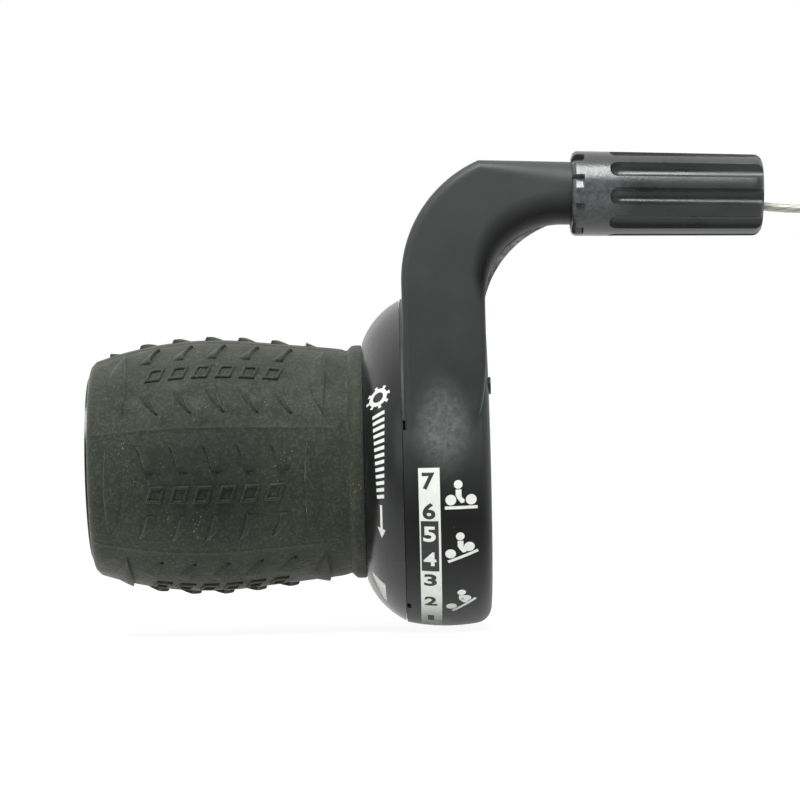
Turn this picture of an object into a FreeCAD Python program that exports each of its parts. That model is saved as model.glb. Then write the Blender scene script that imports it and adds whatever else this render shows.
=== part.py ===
import FreeCAD, Part

import math
import os
import re

import Sketcher
from FreeCAD import Placement, Rotation, Vector

# Twist grip shifter for a 22.2 mm handlebar, in millimetres and degrees.
# The bar runs along X through the origin, +X points inboard and +Z up.
# X = 0 is the outboard face of the housing, where the turning grip meets it.
# Angles round the bar count from +Y towards +Z, so the front of the shifter is at 180.

SIZES = {
    # Handlebar and running clearances
    "bar_d": "22.2",
    "clamp_gap": "0.05",
    "bar_play": "0.3",
    "run_gap": "0.1",
    "part_gap": "0.4",
    "seat_gap": "0.05",
    # Housing ring and the sleeve that the grip turns on
    "ring_w": "12",
    "ring_edge_r": "23",
    "crown_r": "26",
    "ring_round": "2.4",
    "sleeve_wall": "1.15",
    "sleeve_len": "13.4",
    "bead_len": "0.9",
    "bead_rise": "0.3",
    "cavity_len": "5.4",
    "collar_len": "2.2",
    "land_rise": "0.3",
    "collar_wall": "1.3",
    "rim_notch_w": "1.4",
    "rim_notch_d": "0.55",
    "rim_notch_in": "1.5",
    "rim_notch_up": "167",
    "rim_notch_low": "241",
    "gate_pip_d": "2.4",
    "gate_pip_rise": "0.3",
    "gate_pip_out": "17.5",
    "gate_pip_up": "10.3",
    # Clicks: leaf spring in the spool, scallops in the housing's collar
    "gear_count": "7",
    "gear_step": "11",
    "scallop_r": "1.2",
    "scallop_depth": "0.6",
    "nose_r": "0.95",
    "leaf_thick": "0.4",
    "leaf_wide": "1.8",
    "leaf_slope": "45",
    "leaf_leg": "4",
    "spring_at": "330",
    # Spool, wire and its cast head
    "wire_d": "1.2",
    "wrap_r": "15.2",
    "wire_x": "2.6",
    "groove_w": "1.6",
    "spool_r": "17.3",
    "head_d": "4.2",
    "head_len": "4.6",
    "head_at": "303",
    # End stop on the spool and its window in the collar
    "stop_at": "60",
    "stop_span": "10",
    "stop_rise": "1.3",
    "stop_play": "1",
    # Grip core
    "grip_len": "44.1",
    "lip_out": "0.4",
    "lip_r": "13",
    "barrel_r": "14.2",
    "taper_len": "6",
    "flange_r": "22.85",
    "flange_w": "5.1",
    "flange_root_rise": "2.7",
    "flange_bow_r": "11",
    "flange_rim_w": "0.6",
    "flange_run": "0.12",
    "rib_count": "6",
    "rib_w": "2",
    "rib_rise": "0.8",
    "rib_len": "24",
    "rib_start": "9",
    # Rubber sleeve
    "rubber_end_wall": "0.75",
    "belly_r": "50",
    "cone_start": "22.5",
    "cone_wall": "3.44",
    "neck_at": "7.9",
    "neck_wall": "1.9",
    "rim_bead_wall": "2.4",
    "rim_bead_w": "1.3",
    "rubber_round": "0.7",
    # Tread: fins on both sides of a plain band, with a crescent at each end
    "panel_count": "6",
    "panel_at": "132",
    "panel_x": "-26.2",
    "band_half": "3.2",
    "fin_count": "5",
    "fin_pitch": "4.67",
    "fin_rise": "0.5",
    "fin_base": "1.7",
    "fin_len": "3.7",
    "fin_lean": "2.3",
    "fin_bow_r": "7",
    "crescent_half": "5.6",
    "crescent_w": "1.9",
    "crescent_bow_r": "11",
    # Arm and elbow
    "arm_left": "0.3",
    "arm_right": "11.75",
    "arm_foot_x": "9.4",
    "arm_foot_z": "2",
    "arm_join_z": "15",
    "duct_front": "18.6",
    "tube_d": "8.62",
    "bend_r": "10.5",
    "bend_soft": "48",
    "knob_x": "24",
    "knob_z": "36.5",
    "droop": "2",
    "back_z": "24.8",
    "kink_x": "11.3",
    "arm_round": "0.9",
    "back_round": "1",
    "kink_round": "1.4",
    "tube_flat": "0.22",
    "duct_d": "2.2",
    "wire_bend_r": "14",
    "lean_z": "13",
    "lean_r": "40",
    # Elbow cover and its screw
    "seam": "0.08",
    "cover_foot_z": "22.5",
    "cover_end_x": "20.6",
    "cover_lip": "2.6",
    "cover_lip_r": "14.4",
    "cover_lip_out": "0.12",
    "cover_screw_x": "11.4",
    "cover_screw_z": "30.4",
    "cover_screw_d": "1.9",
    "cover_screw_len": "6.4",
    "cover_head_d": "4.2",
    "cover_head_h": "1.5",
    "cover_head_sink": "1.2",
    "cover_recess_w": "0.7",
    "cover_recess_len": "2.4",
    "cover_recess_deep": "0.8",
    # Clamp screw
    "clamp_x": "8.8",
    "clamp_at": "300",
    "clamp_d": "4",
    "clamp_len": "9.5",
    "clamp_hex": "2",
    "clamp_hex_deep": "2.5",
    # Barrel adjuster
    "knob_len": "26.3",
    "knob_d": "11.72",
    "knob_end_d": "11.16",
    "knob_round": "0.8",
    "knob_end_round": "1.2",
    "skirt_deep": "5",
    "stem_d": "6",
    "stem_len": "7.2",
    "thread_gap": "0.08",
    "wire_hole_d": "3.3",
    "socket_d": "5.2",
    "socket_deep": "7.3",
    "flute_count": "9",
    "flute_first": "106",
    "flute_r": "1.15",
    "flute_bed_r": "5.75",
    "flute_start": "5.2",
    "index_w": "1.9",
    "index_len": "1.7",
    "index_deep": "0.75",
    "casing_seat_thick": "1",
    # Free wire, its coil, tie and end cap
    "coil_mid_r": "11.2",
    "coil_thick": "6.4",
    "coil_wide": "7.6",
    "coil_x": "73.5",
    "coil_z": "15.9",
    "coil_round": "2.2",
    "tie_thick": "0.6",
    "tie_wide": "3",
    "tie_at": "86",
    "tie_room": "2.8",
    "tie_gap": "0.15",
    "cap_d": "2",
    "cap_len": "9",
    "cap_hole_deep": "7",
    "cap_at": "-40",
}

# The free wire's route in the plane of the duct, as X and Z. Arcs take this share of the shorter run
# at each of its corners.
ARC_SHARE = 0.45
WIRE_ROUTE = [
    (31.0, 36.255),
    (41.5, 35.889),
    (51.5, 33.640),
    (61.0, 33.400),
    (69.5, 32.900),
    (76.5, 31.800),
    (82.0, 28.700),
]

# Places closer together than this count as one
NEAR = 0.0001

doc = FreeCAD.newDocument("twist_shifter")
sheet = doc.addObject("Spreadsheet::Sheet", "Sizes")
for row, (alias, text) in enumerate(SIZES.items(), 1):
    sheet.set(f"A{row}", alias)
    sheet.set(f"B{row}", text)
    sheet.setAlias(f"B{row}", alias)
doc.recompute()

# Sizes that several pieces share, as expressions of the sheet's cells
BORE_R = "(bar_d / 2 + clamp_gap)"
SLEEVE_R = f"({BORE_R} + sleeve_wall)"
BEAD_R = f"({SLEEVE_R} + bead_rise)"
CAVITY_R = "(spool_r + part_gap)"
COLLAR_R = f"({CAVITY_R} + collar_wall)"
CORE_BORE_R = f"({SLEEVE_R} + run_gap)"
TUBE_R = "(tube_d / 2)"
TRAVEL = "(gear_step * (gear_count - 1))"
SPOOL_END = "(cavity_len - part_gap)"
CUP_FLOOR = "(collar_len + part_gap)"
TUBE_REACH = "(skirt_deep - part_gap)"
SCALLOP_AT_R = f"({CAVITY_R} + scallop_depth - scallop_r)"
LAND_R = "(flange_r - flange_rim_w - part_gap)"
LAND_ROOM = "(land_rise + part_gap)"
CONE_R = "(barrel_r + cone_wall)"
RUBBER_END_R = "(barrel_r + rubber_end_wall)"
NECK_R = "(barrel_r + neck_wall)"
RIM_BEAD_R = "(barrel_r + rim_bead_wall)"


def bound(text):
    """Expression whose sizes are led by the sheet's name."""
    return re.sub(r"[a-z]\w*", lambda m: f"Sizes.{m[0]}" if m[0] in SIZES else m[0], text)


def value(text):
    """Number that an expression of the sheet's sizes comes to."""
    return float(sheet.evalExpression(bound(text)))


def polar(radius, across, angle):
    """Expressions of the point at a radius and an offset across it, turned by an angle."""
    first = f"({radius}) * cos({angle}) - ({across}) * sin({angle})"
    second = f"({radius}) * sin({angle}) + ({across}) * cos({angle})"
    return first, second


def new_body(name):
    return doc.addObject("PartDesign::Body", name)


def new_sketch(body, name, role, lift="0", turn="0"):
    """Sketch on one of the body's origin planes, lifted off it and turned about its own x axis."""
    sketch = body.newObject("Sketcher::SketchObject", name)
    plane = next(f for f in body.Origin.OriginFeatures if f.Role == role)
    sketch.AttachmentSupport = [(plane, "")]
    sketch.MapMode = "FlatFace"
    sketch.AttachmentOffset = Placement(Vector(), Rotation(Vector(1, 0, 0), value(turn)))
    sketch.setExpression("AttachmentOffset.Base.z", bound(lift))
    return sketch


def pin_point(sketch, geometry, end, x, y):
    """Hold a point of the sketch at two expressions."""
    for kind, axis, text in (("DistanceX", -2, x), ("DistanceY", -1, y)):
        if text == "0":
            sketch.addConstraint(Sketcher.Constraint("PointOnObject", geometry, end, axis))
            continue
        place = Sketcher.Constraint(kind, -1, 1, geometry, end, value(text))
        sketch.setExpression(f"Constraints[{sketch.addConstraint(place)}]", bound(text))


def outline(sketch, corners):
    """Closed outline. A corner is x, y and, where an arc leads on from it, the arc's radius,
    which is positive where the arc's centre lies to the left of the way."""
    points = [Vector(value(c[0]), value(c[1]), 0) for c in corners]
    starts = []
    for i, corner in enumerate(corners):
        start = points[i]
        end = points[(i + 1) % len(points)]
        if len(corner) == 2:
            sketch.addGeometry(Part.LineSegment(start, end))
            starts.append(1)
            continue
        radius = value(corner[2])
        way = end - start
        left = Vector(-way.y, way.x, 0).normalize() * math.copysign(1, radius)
        reach = math.sqrt(radius**2 - (way.Length / 2) ** 2)
        middle = (start + end) / 2 + left * (reach - abs(radius))
        sketch.addGeometry(Part.Arc(start, middle, end))
        starts.append(1 if radius > 0 else 2)
        fixed = Sketcher.Constraint("Radius", i, abs(radius))
        text = bound(corner[2] if radius > 0 else f"-({corner[2]})")
        sketch.setExpression(f"Constraints[{sketch.addConstraint(fixed)}]", text)
    for i, corner in enumerate(corners):
        before = (i - 1) % len(corners)
        meet = Sketcher.Constraint("Coincident", before, 3 - starts[before], i, starts[i])
        sketch.addConstraint(meet)
        pin_point(sketch, i, starts[i], corner[0], corner[1])
    return sketch


def circle(sketch, x, y, diameter):
    middle = Vector(value(x), value(y), 0)
    index = sketch.addGeometry(Part.Circle(middle, Vector(0, 0, 1), value(diameter) / 2))
    pin_point(sketch, index, 3, x, y)
    wide = Sketcher.Constraint("Diameter", index, value(diameter))
    sketch.setExpression(f"Constraints[{sketch.addConstraint(wide)}]", bound(diameter))
    return sketch


def turned(body, kind, name, sketch, angle="360"):
    """Revolution or Groove of a sketch about its own x axis."""
    feature = body.newObject(f"PartDesign::{kind}", name)
    feature.Profile = sketch
    feature.ReferenceAxis = (sketch, ["H_Axis"])
    feature.setExpression("Angle", bound(angle))
    return feature


def pushed(body, kind, name, sketch, length, both_ways=False, other_way=False):
    """Pad or Pocket of a sketch along its normal."""
    feature = body.newObject(f"PartDesign::{kind}", name)
    feature.Profile = sketch
    feature.Midplane = both_ways
    feature.Reversed = other_way
    feature.setExpression("Length", bound(length))
    return feature


def repeated(body, name, features, sketch, count, angle="360"):
    """Polar pattern of features about the normal of a sketch on the YZ plane."""
    pattern = body.newObject("PartDesign::PolarPattern", name)
    pattern.Originals = features
    pattern.Axis = (sketch, ["N_Axis"])
    pattern.setExpression("Angle", bound(angle))
    pattern.setExpression("Occurrences", bound(count))
    body.Tip = pattern
    return pattern


def rounded(body, name, radius, is_chosen):
    """Fillet on the edges of the body that a test picks."""
    doc.recompute()
    base = body.Tip
    names = [f"Edge{i}" for i, edge in enumerate(base.Shape.Edges, 1) if is_chosen(edge)]
    feature = body.newObject("PartDesign::Fillet", name)
    feature.Base = (base, names)
    feature.setExpression("Radius", bound(radius))
    return feature


def is_ring_edge(edge, x, radius):
    """True for a whole circle about the X axis at that place and of that radius."""
    curve = edge.Curve
    if not isinstance(curve, Part.Circle):
        return False
    return abs(curve.Center.x - x) < NEAR and abs(curve.Radius - radius) < NEAR


def form(name, shape, placement=None):
    """Document object that holds a shape made by Part's own functions."""
    feature = doc.addObject("Part::Feature", name)
    feature.Shape = shape
    if placement:
        feature.Placement = placement
    return feature


def cut(name, base, tools):
    """Base less its tools, as a Part::Cut."""
    fused = tools[0]
    if len(tools) > 1:
        fused = doc.addObject("Part::MultiFuse", f"{name}_tools")
        fused.Shapes = tools
    result = doc.addObject("Part::Cut", name)
    result.Base = base
    result.Tool = fused
    return result


def fuse(name, pieces):
    result = doc.addObject("Part::MultiFuse", name)
    result.Shapes = pieces
    return result


def common(name, pieces):
    result = doc.addObject("Part::MultiCommon", name)
    result.Shapes = pieces
    return result


def box_between(name, low, high):
    """Part::Box between two corners, each three expressions."""
    box = doc.addObject("Part::Box", name)
    for side, axis, start, end in zip(("Length", "Width", "Height"), "xyz", low, high):
        box.setExpression(side, bound(f"({end}) - ({start})"))
        box.setExpression(f"Placement.Base.{axis}", bound(start))
    return box


def route(points, radii):
    """Wire of straight runs through the points, joined by tangent arcs of the radii."""
    edges = []
    start = points[0]
    for before, corner, after, radius in zip(points, points[1:], points[2:], radii):
        back = (before - corner).normalize()
        onward = (after - corner).normalize()
        half = back.getAngle(onward) / 2
        inside = (back + onward).normalize()
        entry = corner + back * (radius / math.tan(half))
        leave = corner + onward * (radius / math.tan(half))
        middle = corner + inside * (radius / math.sin(half) - radius)
        edges.append(Part.LineSegment(start, entry).toShape())
        edges.append(Part.Arc(entry, middle, leave).toShape())
        start = leave
    edges.append(Part.LineSegment(start, points[-1]).toShape())
    return Part.Wire(edges)


def swept(name, path, diameter):
    """Part::Sweep of a round section along a path."""
    first = path.Edges[0]
    start = first.valueAt(first.FirstParameter)
    way = first.tangentAt(first.FirstParameter)
    ring = doc.addObject("Part::Circle", f"{name}_section")
    ring.setExpression("Radius", bound(f"({diameter}) / 2"))
    ring.Placement = Placement(start, Rotation(Vector(0, 0, 1), way))
    spine = form(f"{name}_path", path)
    sweep = doc.addObject("Part::Sweep", name)
    sweep.Sections = [ring]
    sweep.Spine = (spine, [f"Edge{i + 1}" for i in range(len(path.Edges))])
    sweep.Solid = True
    sweep.Frenet = False
    return sweep


# Housing ring, with the bearing sleeve, the spool's cavity and the collar of clicks

ring = new_body("ring_form")
ring_profile = outline(
    new_sketch(ring, "ring_profile", "XZ_Plane"),
    [
        ("-sleeve_len", BORE_R),
        ("ring_w", BORE_R),
        ("ring_w", "ring_edge_r", "crown_r"),
        ("0", "ring_edge_r"),
        ("0", LAND_R),
        ("-land_rise", LAND_R),
        ("-land_rise", COLLAR_R),
        ("-collar_len", COLLAR_R),
        ("-collar_len", CAVITY_R),
        ("cavity_len", CAVITY_R),
        ("cavity_len", SLEEVE_R),
        ("bead_len - sleeve_len", SLEEVE_R),
        ("bead_len - sleeve_len", BEAD_R),
        ("-sleeve_len", BEAD_R),
    ],
)
turned(ring, "Revolution", "ring_turned", ring_profile)
rounded(
    ring,
    "ring_inboard_round",
    "ring_round",
    lambda e: is_ring_edge(e, value("ring_w"), value("ring_edge_r")),
)

# A scallop for each gear, in the collar's inner wall
scallop = new_sketch(ring, "scallop_profile", "YZ_Plane")
circle(scallop, *polar(SCALLOP_AT_R, "0", f"(spring_at - {TRAVEL})"), "2 * scallop_r")
scallop_cut = pushed(ring, "Pocket", "scallop", scallop, "collar_len")
repeated(ring, "scallops", [scallop_cut], scallop, "gear_count", TRAVEL)

# Window in the collar, as wide as the end stop's travel
WINDOW_TURN = f"(stop_at - {TRAVEL} - stop_span / 2 - stop_play - 90)"
window = outline(
    new_sketch(ring, "stop_window_profile", "XZ_Plane", turn=WINDOW_TURN),
    [
        ("-collar_len - part_gap", f"{CAVITY_R} - part_gap / 2"),
        ("-seat_gap", f"{CAVITY_R} - part_gap / 2"),
        ("-seat_gap", f"{COLLAR_R} + part_gap"),
        ("-collar_len - part_gap", f"{COLLAR_R} + part_gap"),
    ],
)
turned(ring, "Groove", "stop_window", window, f"{TRAVEL} + stop_span + 2 * stop_play")

# Two small notches in the outboard rim
for name, angle in (("rim_notch_upper", "rim_notch_up"), ("rim_notch_lower", "rim_notch_low")):
    notch = outline(
        new_sketch(ring, f"{name}_profile", "YZ_Plane"),
        [
            polar("ring_edge_r - rim_notch_in", "-rim_notch_w / 2", angle),
            polar("ring_edge_r + rim_notch_w", "-rim_notch_w / 2", angle),
            polar("ring_edge_r + rim_notch_w", "rim_notch_w / 2", angle),
            polar("ring_edge_r - rim_notch_in", "rim_notch_w / 2", angle),
        ],
    )
    pushed(ring, "Pocket", name, notch, "rim_notch_d", other_way=True)

# Gate pip on the inboard face
pip = new_sketch(ring, "gate_pip_profile", "YZ_Plane", lift="ring_w")
circle(pip, "-gate_pip_out", "gate_pip_up", "gate_pip_d")
pushed(ring, "Pad", "gate_pip", pip, "gate_pip_rise")

# Arm and elbow: one outline with rounds that grow from the arm to the tube

MID_R = f"(bend_r + {TUBE_R})"
CORNER_Z = f"(knob_z + (knob_x - arm_right + {TUBE_R}) * tan(droop))"
BEND_Z = f"({CORNER_Z} - {MID_R} * tan(45 + droop / 2))"
BEND_X = "(arm_right + bend_r)"
KINK_Z = f"(knob_z + (knob_x - kink_x) * tan(droop) + {TUBE_R} / cos(droop))"
BACK_DX = "(kink_x - arm_left)"
BACK_DZ = f"({KINK_Z} - back_z)"
BACK_R = f"(({BACK_DX}^2 + {BACK_DZ}^2) / (2 * {BACK_DX}))"
JOIN_DX = "(arm_right - arm_foot_x)"
JOIN_DZ = "(arm_join_z - arm_foot_z)"
JOIN_R = f"(({JOIN_DX}^2 + {JOIN_DZ}^2) / (2 * {JOIN_DX}))"
TUBE_END_X = f"(knob_x + {TUBE_REACH} * cos(droop))"
TUBE_END_Z = f"(knob_z - {TUBE_REACH} * sin(droop))"

elbow = new_body("elbow_form")
elbow_profile = outline(
    new_sketch(elbow, "elbow_profile", "XZ_Plane", lift="duct_front"),
    [
        ("arm_left", "arm_foot_z"),
        ("arm_foot_x", "arm_foot_z", JOIN_R),
        ("arm_right", "arm_join_z"),
        ("arm_right", BEND_Z, "-bend_r"),
        (f"{BEND_X} - bend_r * cos(bend_soft)", f"{BEND_Z} + bend_r * sin(bend_soft)", "-bend_r"),
        (f"{BEND_X} + bend_r * sin(droop)", f"{BEND_Z} + bend_r * cos(droop)"),
        (f"{TUBE_END_X} - {TUBE_R} * sin(droop)", f"{TUBE_END_Z} - {TUBE_R} * cos(droop)"),
        (f"{TUBE_END_X} + {TUBE_R} * sin(droop)", f"{TUBE_END_Z} + {TUBE_R} * cos(droop)"),
        ("kink_x", KINK_Z, BACK_R),
        ("arm_left", "back_z"),
    ],
)
pushed(elbow, "Pad", "elbow_pad", elbow_profile, "tube_d", both_ways=True)
doc.recompute()


def elbow_round(point, is_inside):
    """Round of the elbow's long edges at a point, on the inside or the back of the bend."""
    full = value(f"{TUBE_R} - tube_flat / 2")
    if is_inside:
        turn = math.degrees(math.atan2(point.z - value(BEND_Z), value(BEND_X) - point.x))
        share = min(max(turn / value("bend_soft"), 0), 1)
        return value("arm_round") + (full - value("arm_round")) * share
    if point.z <= value("back_z") + NEAR:
        return value("back_round")
    if point.x <= value("kink_x") + NEAR:
        return value("kink_round")
    return full


def elbow_edges(shape):
    """The long edges of the front and the rear face, each with its two rounds."""
    chosen = []
    for index, edge in enumerate(shape.Edges, 1):
        first = edge.valueAt(edge.FirstParameter)
        last = edge.valueAt(edge.LastParameter)
        middle = edge.valueAt((edge.FirstParameter + edge.LastParameter) / 2)
        if abs(first.y - last.y) > NEAR:
            continue
        is_foot = abs(first.z - last.z) < NEAR and first.z < value("arm_foot_z") + NEAR
        is_end = min(first.x, last.x) > value("knob_x")
        if is_foot or is_end:
            continue
        from_bend = math.hypot(middle.x - value(BEND_X), middle.z - value(BEND_Z))
        is_tube_floor = middle.x > value(BEND_X) and middle.z < value("knob_z")
        is_arm_side = middle.z < value(BEND_Z) and middle.x > value("arm_foot_x")
        is_inside = from_bend < value(MID_R) - 1 or is_tube_floor or is_arm_side
        rounds = [elbow_round(point, is_inside) for point in (first, last)]
        if is_tube_floor:
            rounds = [value(f"{TUBE_R} - tube_flat / 2")] * 2
        chosen.append((index, *rounds))
    return chosen


elbow_soft = doc.addObject("Part::Fillet", "elbow_soft")
elbow_soft.Base = elbow
elbow_soft.Edges = elbow_edges(elbow.Shape)

ring_room = doc.addObject("Part::Cylinder", "ring_room")
ring_room.setExpression("Radius", bound(f"{CAVITY_R} + part_gap"))
ring_room.setExpression("Height", bound("4 * ring_w"))
ring_room.Placement = Placement(Vector(-value("ring_w"), 0, 0), Rotation(Vector(0, 1, 0), 90))
elbow_shell = cut("elbow_shell", elbow_soft, [ring_room])

# Duct that the wire runs in, from the spool up the arm and round the elbow

DUCT_Y = "(-duct_front)"


def lean_angle():
    """Angle below the front at which the wire leaves the spool towards the arm."""
    reach = math.hypot(value("duct_front"), value("lean_z"))
    rise = math.atan2(value("lean_z"), value("duct_front"))
    return math.acos(value("wrap_r") / reach) - rise


def duct_points(end_x):
    """Tangent point on the spool, foot of the arm, elbow corner, and a point on the tube's axis."""
    lean = lean_angle()
    x = value("wire_x")
    y = value(DUCT_Y)
    slope = math.tan(math.radians(value("droop")))
    wrap = value("wrap_r")
    return [
        Vector(x, -wrap * math.cos(lean), -wrap * math.sin(lean)),
        Vector(x, y, value("lean_z")),
        Vector(x, y, value("knob_z") + (value("knob_x") - x) * slope),
        Vector(end_x, y, value("knob_z") - (end_x - value("knob_x")) * slope),
    ]


duct_radii = [value("lean_r"), value("wire_bend_r")]
duct = swept("duct", route(duct_points(value("knob_x")), duct_radii), "duct_d")

axis_turn = Rotation(Vector(0, 1, 0), value("droop"))
axis_start = Vector(value("knob_x"), value(DUCT_Y), value("knob_z"))
adjuster_place = Placement(axis_start, axis_turn)


def along_adjuster(name, start, end, diameter):
    """Cylinder on the adjuster's axis between two distances from the knob's face."""
    rod = doc.addObject("Part::Cylinder", name)
    rod.setExpression("Radius", bound(f"({diameter}) / 2"))
    rod.setExpression("Height", bound(f"({end}) - ({start})"))
    foot = axis_start + axis_turn.multVec(Vector(value(start), 0, 0))
    rod.Placement = Placement(foot, axis_turn.multiply(Rotation(Vector(0, 1, 0), 90)))
    return rod


STEM_BACK = "(skirt_deep - stem_len)"
thread_bore = along_adjuster(
    "thread_bore", f"{STEM_BACK} - part_gap", "2 * skirt_deep", "stem_d + 2 * thread_gap"
)

# Elbow cover: the rear half of the bend, with a lip that shows inside it

COVER_BACK = f"({DUCT_Y} + {TUBE_R})"
HEAD_SEAT = f"({COVER_BACK} - cover_head_sink)"
SCREW_TIP = f"({HEAD_SEAT} - cover_screw_len)"
cover_room = box_between(
    "cover_room",
    ("-ring_w", DUCT_Y, "cover_foot_z"),
    ("cover_end_x", f"{COVER_BACK} + part_gap", "2 * knob_z"),
)
cover_block = box_between(
    "cover_block",
    ("-ring_w", f"{DUCT_Y} + seam", "cover_foot_z + seam"),
    ("cover_end_x - seam", f"{COVER_BACK} + part_gap", "2 * knob_z"),
)
cover_half = common("cover_half", [elbow_shell, cover_block])

cover_edge = new_body("cover_lip_form")
cover_lip_profile = outline(
    new_sketch(cover_edge, "cover_lip_profile", "XZ_Plane", lift="duct_front - seam - cover_lip"),
    [
        ("arm_left + arm_right / 2", "cover_foot_z + seam"),
        ("arm_right + cover_lip_out", "cover_foot_z + seam", "-cover_lip_r"),
        ("cover_end_x - seam", f"{BEND_Z} + bend_r - cover_lip_out"),
        ("cover_end_x - seam", "knob_z"),
        ("arm_left + arm_right / 2", "knob_z"),
    ],
)
pushed(cover_edge, "Pad", "cover_lip_pad", cover_lip_profile, "cover_lip")


def cover_screw_hole(name, diameter, start, end):
    """Cylinder along Y on the cover screw's axis."""
    rod = doc.addObject("Part::Cylinder", name)
    rod.setExpression("Radius", bound(f"({diameter}) / 2"))
    rod.setExpression("Height", bound(f"({end}) - ({start})"))
    foot = Vector(value("cover_screw_x"), value(start), value("cover_screw_z"))
    rod.Placement = Placement(foot, Rotation(Vector(1, 0, 0), -90))
    return rod


screw_hole = cover_screw_hole(
    "screw_hole", "cover_screw_d + 2 * seat_gap", f"{SCREW_TIP} - part_gap", COVER_BACK
)
head_hole = cover_screw_hole("head_hole", "cover_head_d + part_gap", HEAD_SEAT, "0")

elbow_cover = cut(
    "elbow_cover",
    fuse("cover_blank", [cover_half, cover_edge]),
    [duct, thread_bore, screw_hole, head_hole],
)

cover_screw_body = new_body("cover_screw")
cover_screw_profile = outline(
    new_sketch(cover_screw_body, "cover_screw_profile", "XZ_Plane"),
    [
        ("-cover_screw_len", "0"),
        ("cover_head_h", "0"),
        ("cover_head_h", "cover_head_d / 4", "cover_head_d / 2"),
        ("cover_head_h / 3", "cover_head_d / 2"),
        ("0", "cover_head_d / 2"),
        ("0", "cover_screw_d / 2"),
        ("cover_screw_d / 2 - cover_screw_len", "cover_screw_d / 2"),
    ],
)
turned(cover_screw_body, "Revolution", "cover_screw_turned", cover_screw_profile)
for name, wide, tall in (
    ("recess_across", "cover_recess_len", "cover_recess_w"),
    ("recess_along", "cover_recess_w", "cover_recess_len"),
):
    recess = outline(
        new_sketch(cover_screw_body, f"{name}_profile", "YZ_Plane", lift="cover_head_h"),
        [
            (f"-{wide} / 2", f"-{tall} / 2"),
            (f"{wide} / 2", f"-{tall} / 2"),
            (f"{wide} / 2", f"{tall} / 2"),
            (f"-{wide} / 2", f"{tall} / 2"),
        ],
    )
    pushed(cover_screw_body, "Pocket", name, recess, "cover_recess_deep")
screw_foot = Vector(value("cover_screw_x"), value(HEAD_SEAT), value("cover_screw_z"))
cover_screw_body.Placement = Placement(screw_foot, Rotation(Vector(0, 0, 1), 90))

# Clamp screw: socket grub screw through the inboard wall on to the bar

CLAMP_TIP = f"({BORE_R} + seat_gap)"
clamp_turn = Rotation(Vector(1, 0, 0), value("clamp_at") - 90)
clamp_hole = doc.addObject("Part::Cylinder", "clamp_hole")
clamp_hole.setExpression("Radius", bound("clamp_d / 2 + seat_gap"))
clamp_hole.setExpression("Height", bound("crown_r"))
clamp_hole.Placement = Placement(Vector(value("clamp_x"), 0, 0), clamp_turn)

clamp_screw = new_body("clamp_screw")
clamp_bar = new_sketch(clamp_screw, "clamp_bar", "XY_Plane", lift=CLAMP_TIP)
circle(clamp_bar, "0", "0", "clamp_d")
pushed(clamp_screw, "Pad", "clamp_rod", clamp_bar, "clamp_len")
HEX_R = "(clamp_hex / 2 / cos(30))"
clamp_socket = outline(
    new_sketch(clamp_screw, "clamp_socket_profile", "XY_Plane", lift=f"{CLAMP_TIP} + clamp_len"),
    [polar(HEX_R, "0", str(60 * side)) for side in range(6)],
)
pushed(clamp_screw, "Pocket", "clamp_socket", clamp_socket, "clamp_hex_deep")
clamp_screw.Placement = Placement(Vector(value("clamp_x"), 0, 0), clamp_turn)

# Housing: ring and elbow in one, with everything that is cut in it

housing = cut(
    "housing",
    fuse("housing_blank", [ring, elbow_shell]),
    [duct, thread_bore, cover_room, screw_hole, clamp_hole],
)

# Grip core: barrel, domed flange, click drum and spool

core = new_body("grip_core")
core_profile = outline(
    new_sketch(core, "core_profile", "XZ_Plane"),
    [
        ("-grip_len - lip_out", "bar_d / 2 + bar_play"),
        ("-sleeve_len - part_gap", "bar_d / 2 + bar_play"),
        ("-sleeve_len - part_gap", f"{BEAD_R} + run_gap"),
        ("bead_len + part_gap - sleeve_len", f"{BEAD_R} + run_gap"),
        ("bead_len + part_gap - sleeve_len", CORE_BORE_R),
        (SPOOL_END, CORE_BORE_R),
        (SPOOL_END, "spool_r"),
        ("wire_x + groove_w / 2", "spool_r"),
        ("wire_x + groove_w / 2", "wrap_r - wire_d / 2 - seat_gap"),
        ("wire_x - groove_w / 2", "wrap_r - wire_d / 2 - seat_gap"),
        ("wire_x - groove_w / 2", "spool_r"),
        (f"-{CUP_FLOOR}", "spool_r"),
        (f"-{CUP_FLOOR}", f"{COLLAR_R} + part_gap"),
        (f"-{LAND_ROOM}", f"{COLLAR_R} + part_gap"),
        (f"-{LAND_ROOM}", "flange_r - flange_rim_w"),
        ("-flange_run", "flange_r - flange_rim_w"),
        ("-flange_run", "flange_r", "flange_bow_r"),
        ("-part_gap - flange_w", "barrel_r + flange_root_rise"),
        ("-part_gap - flange_w", "barrel_r"),
        ("taper_len - grip_len", "barrel_r"),
        ("-grip_len", "lip_r"),
        ("-grip_len - lip_out", "lip_r"),
    ],
)
turned(core, "Revolution", "core_turned", core_profile)

# Ribs that drive the rubber
rib = outline(
    new_sketch(core, "rib_profile", "YZ_Plane", lift="-rib_start"),
    [
        ("barrel_r - rib_rise", "-rib_w / 2"),
        ("barrel_r + rib_rise", "-rib_w / 2"),
        ("barrel_r + rib_rise", "rib_w / 2"),
        ("barrel_r - rib_rise", "rib_w / 2"),
    ],
)
rib_pad = pushed(core, "Pad", "rib", rib, "rib_len", other_way=True)
repeated(core, "ribs", [rib_pad], rib, "rib_count")

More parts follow.
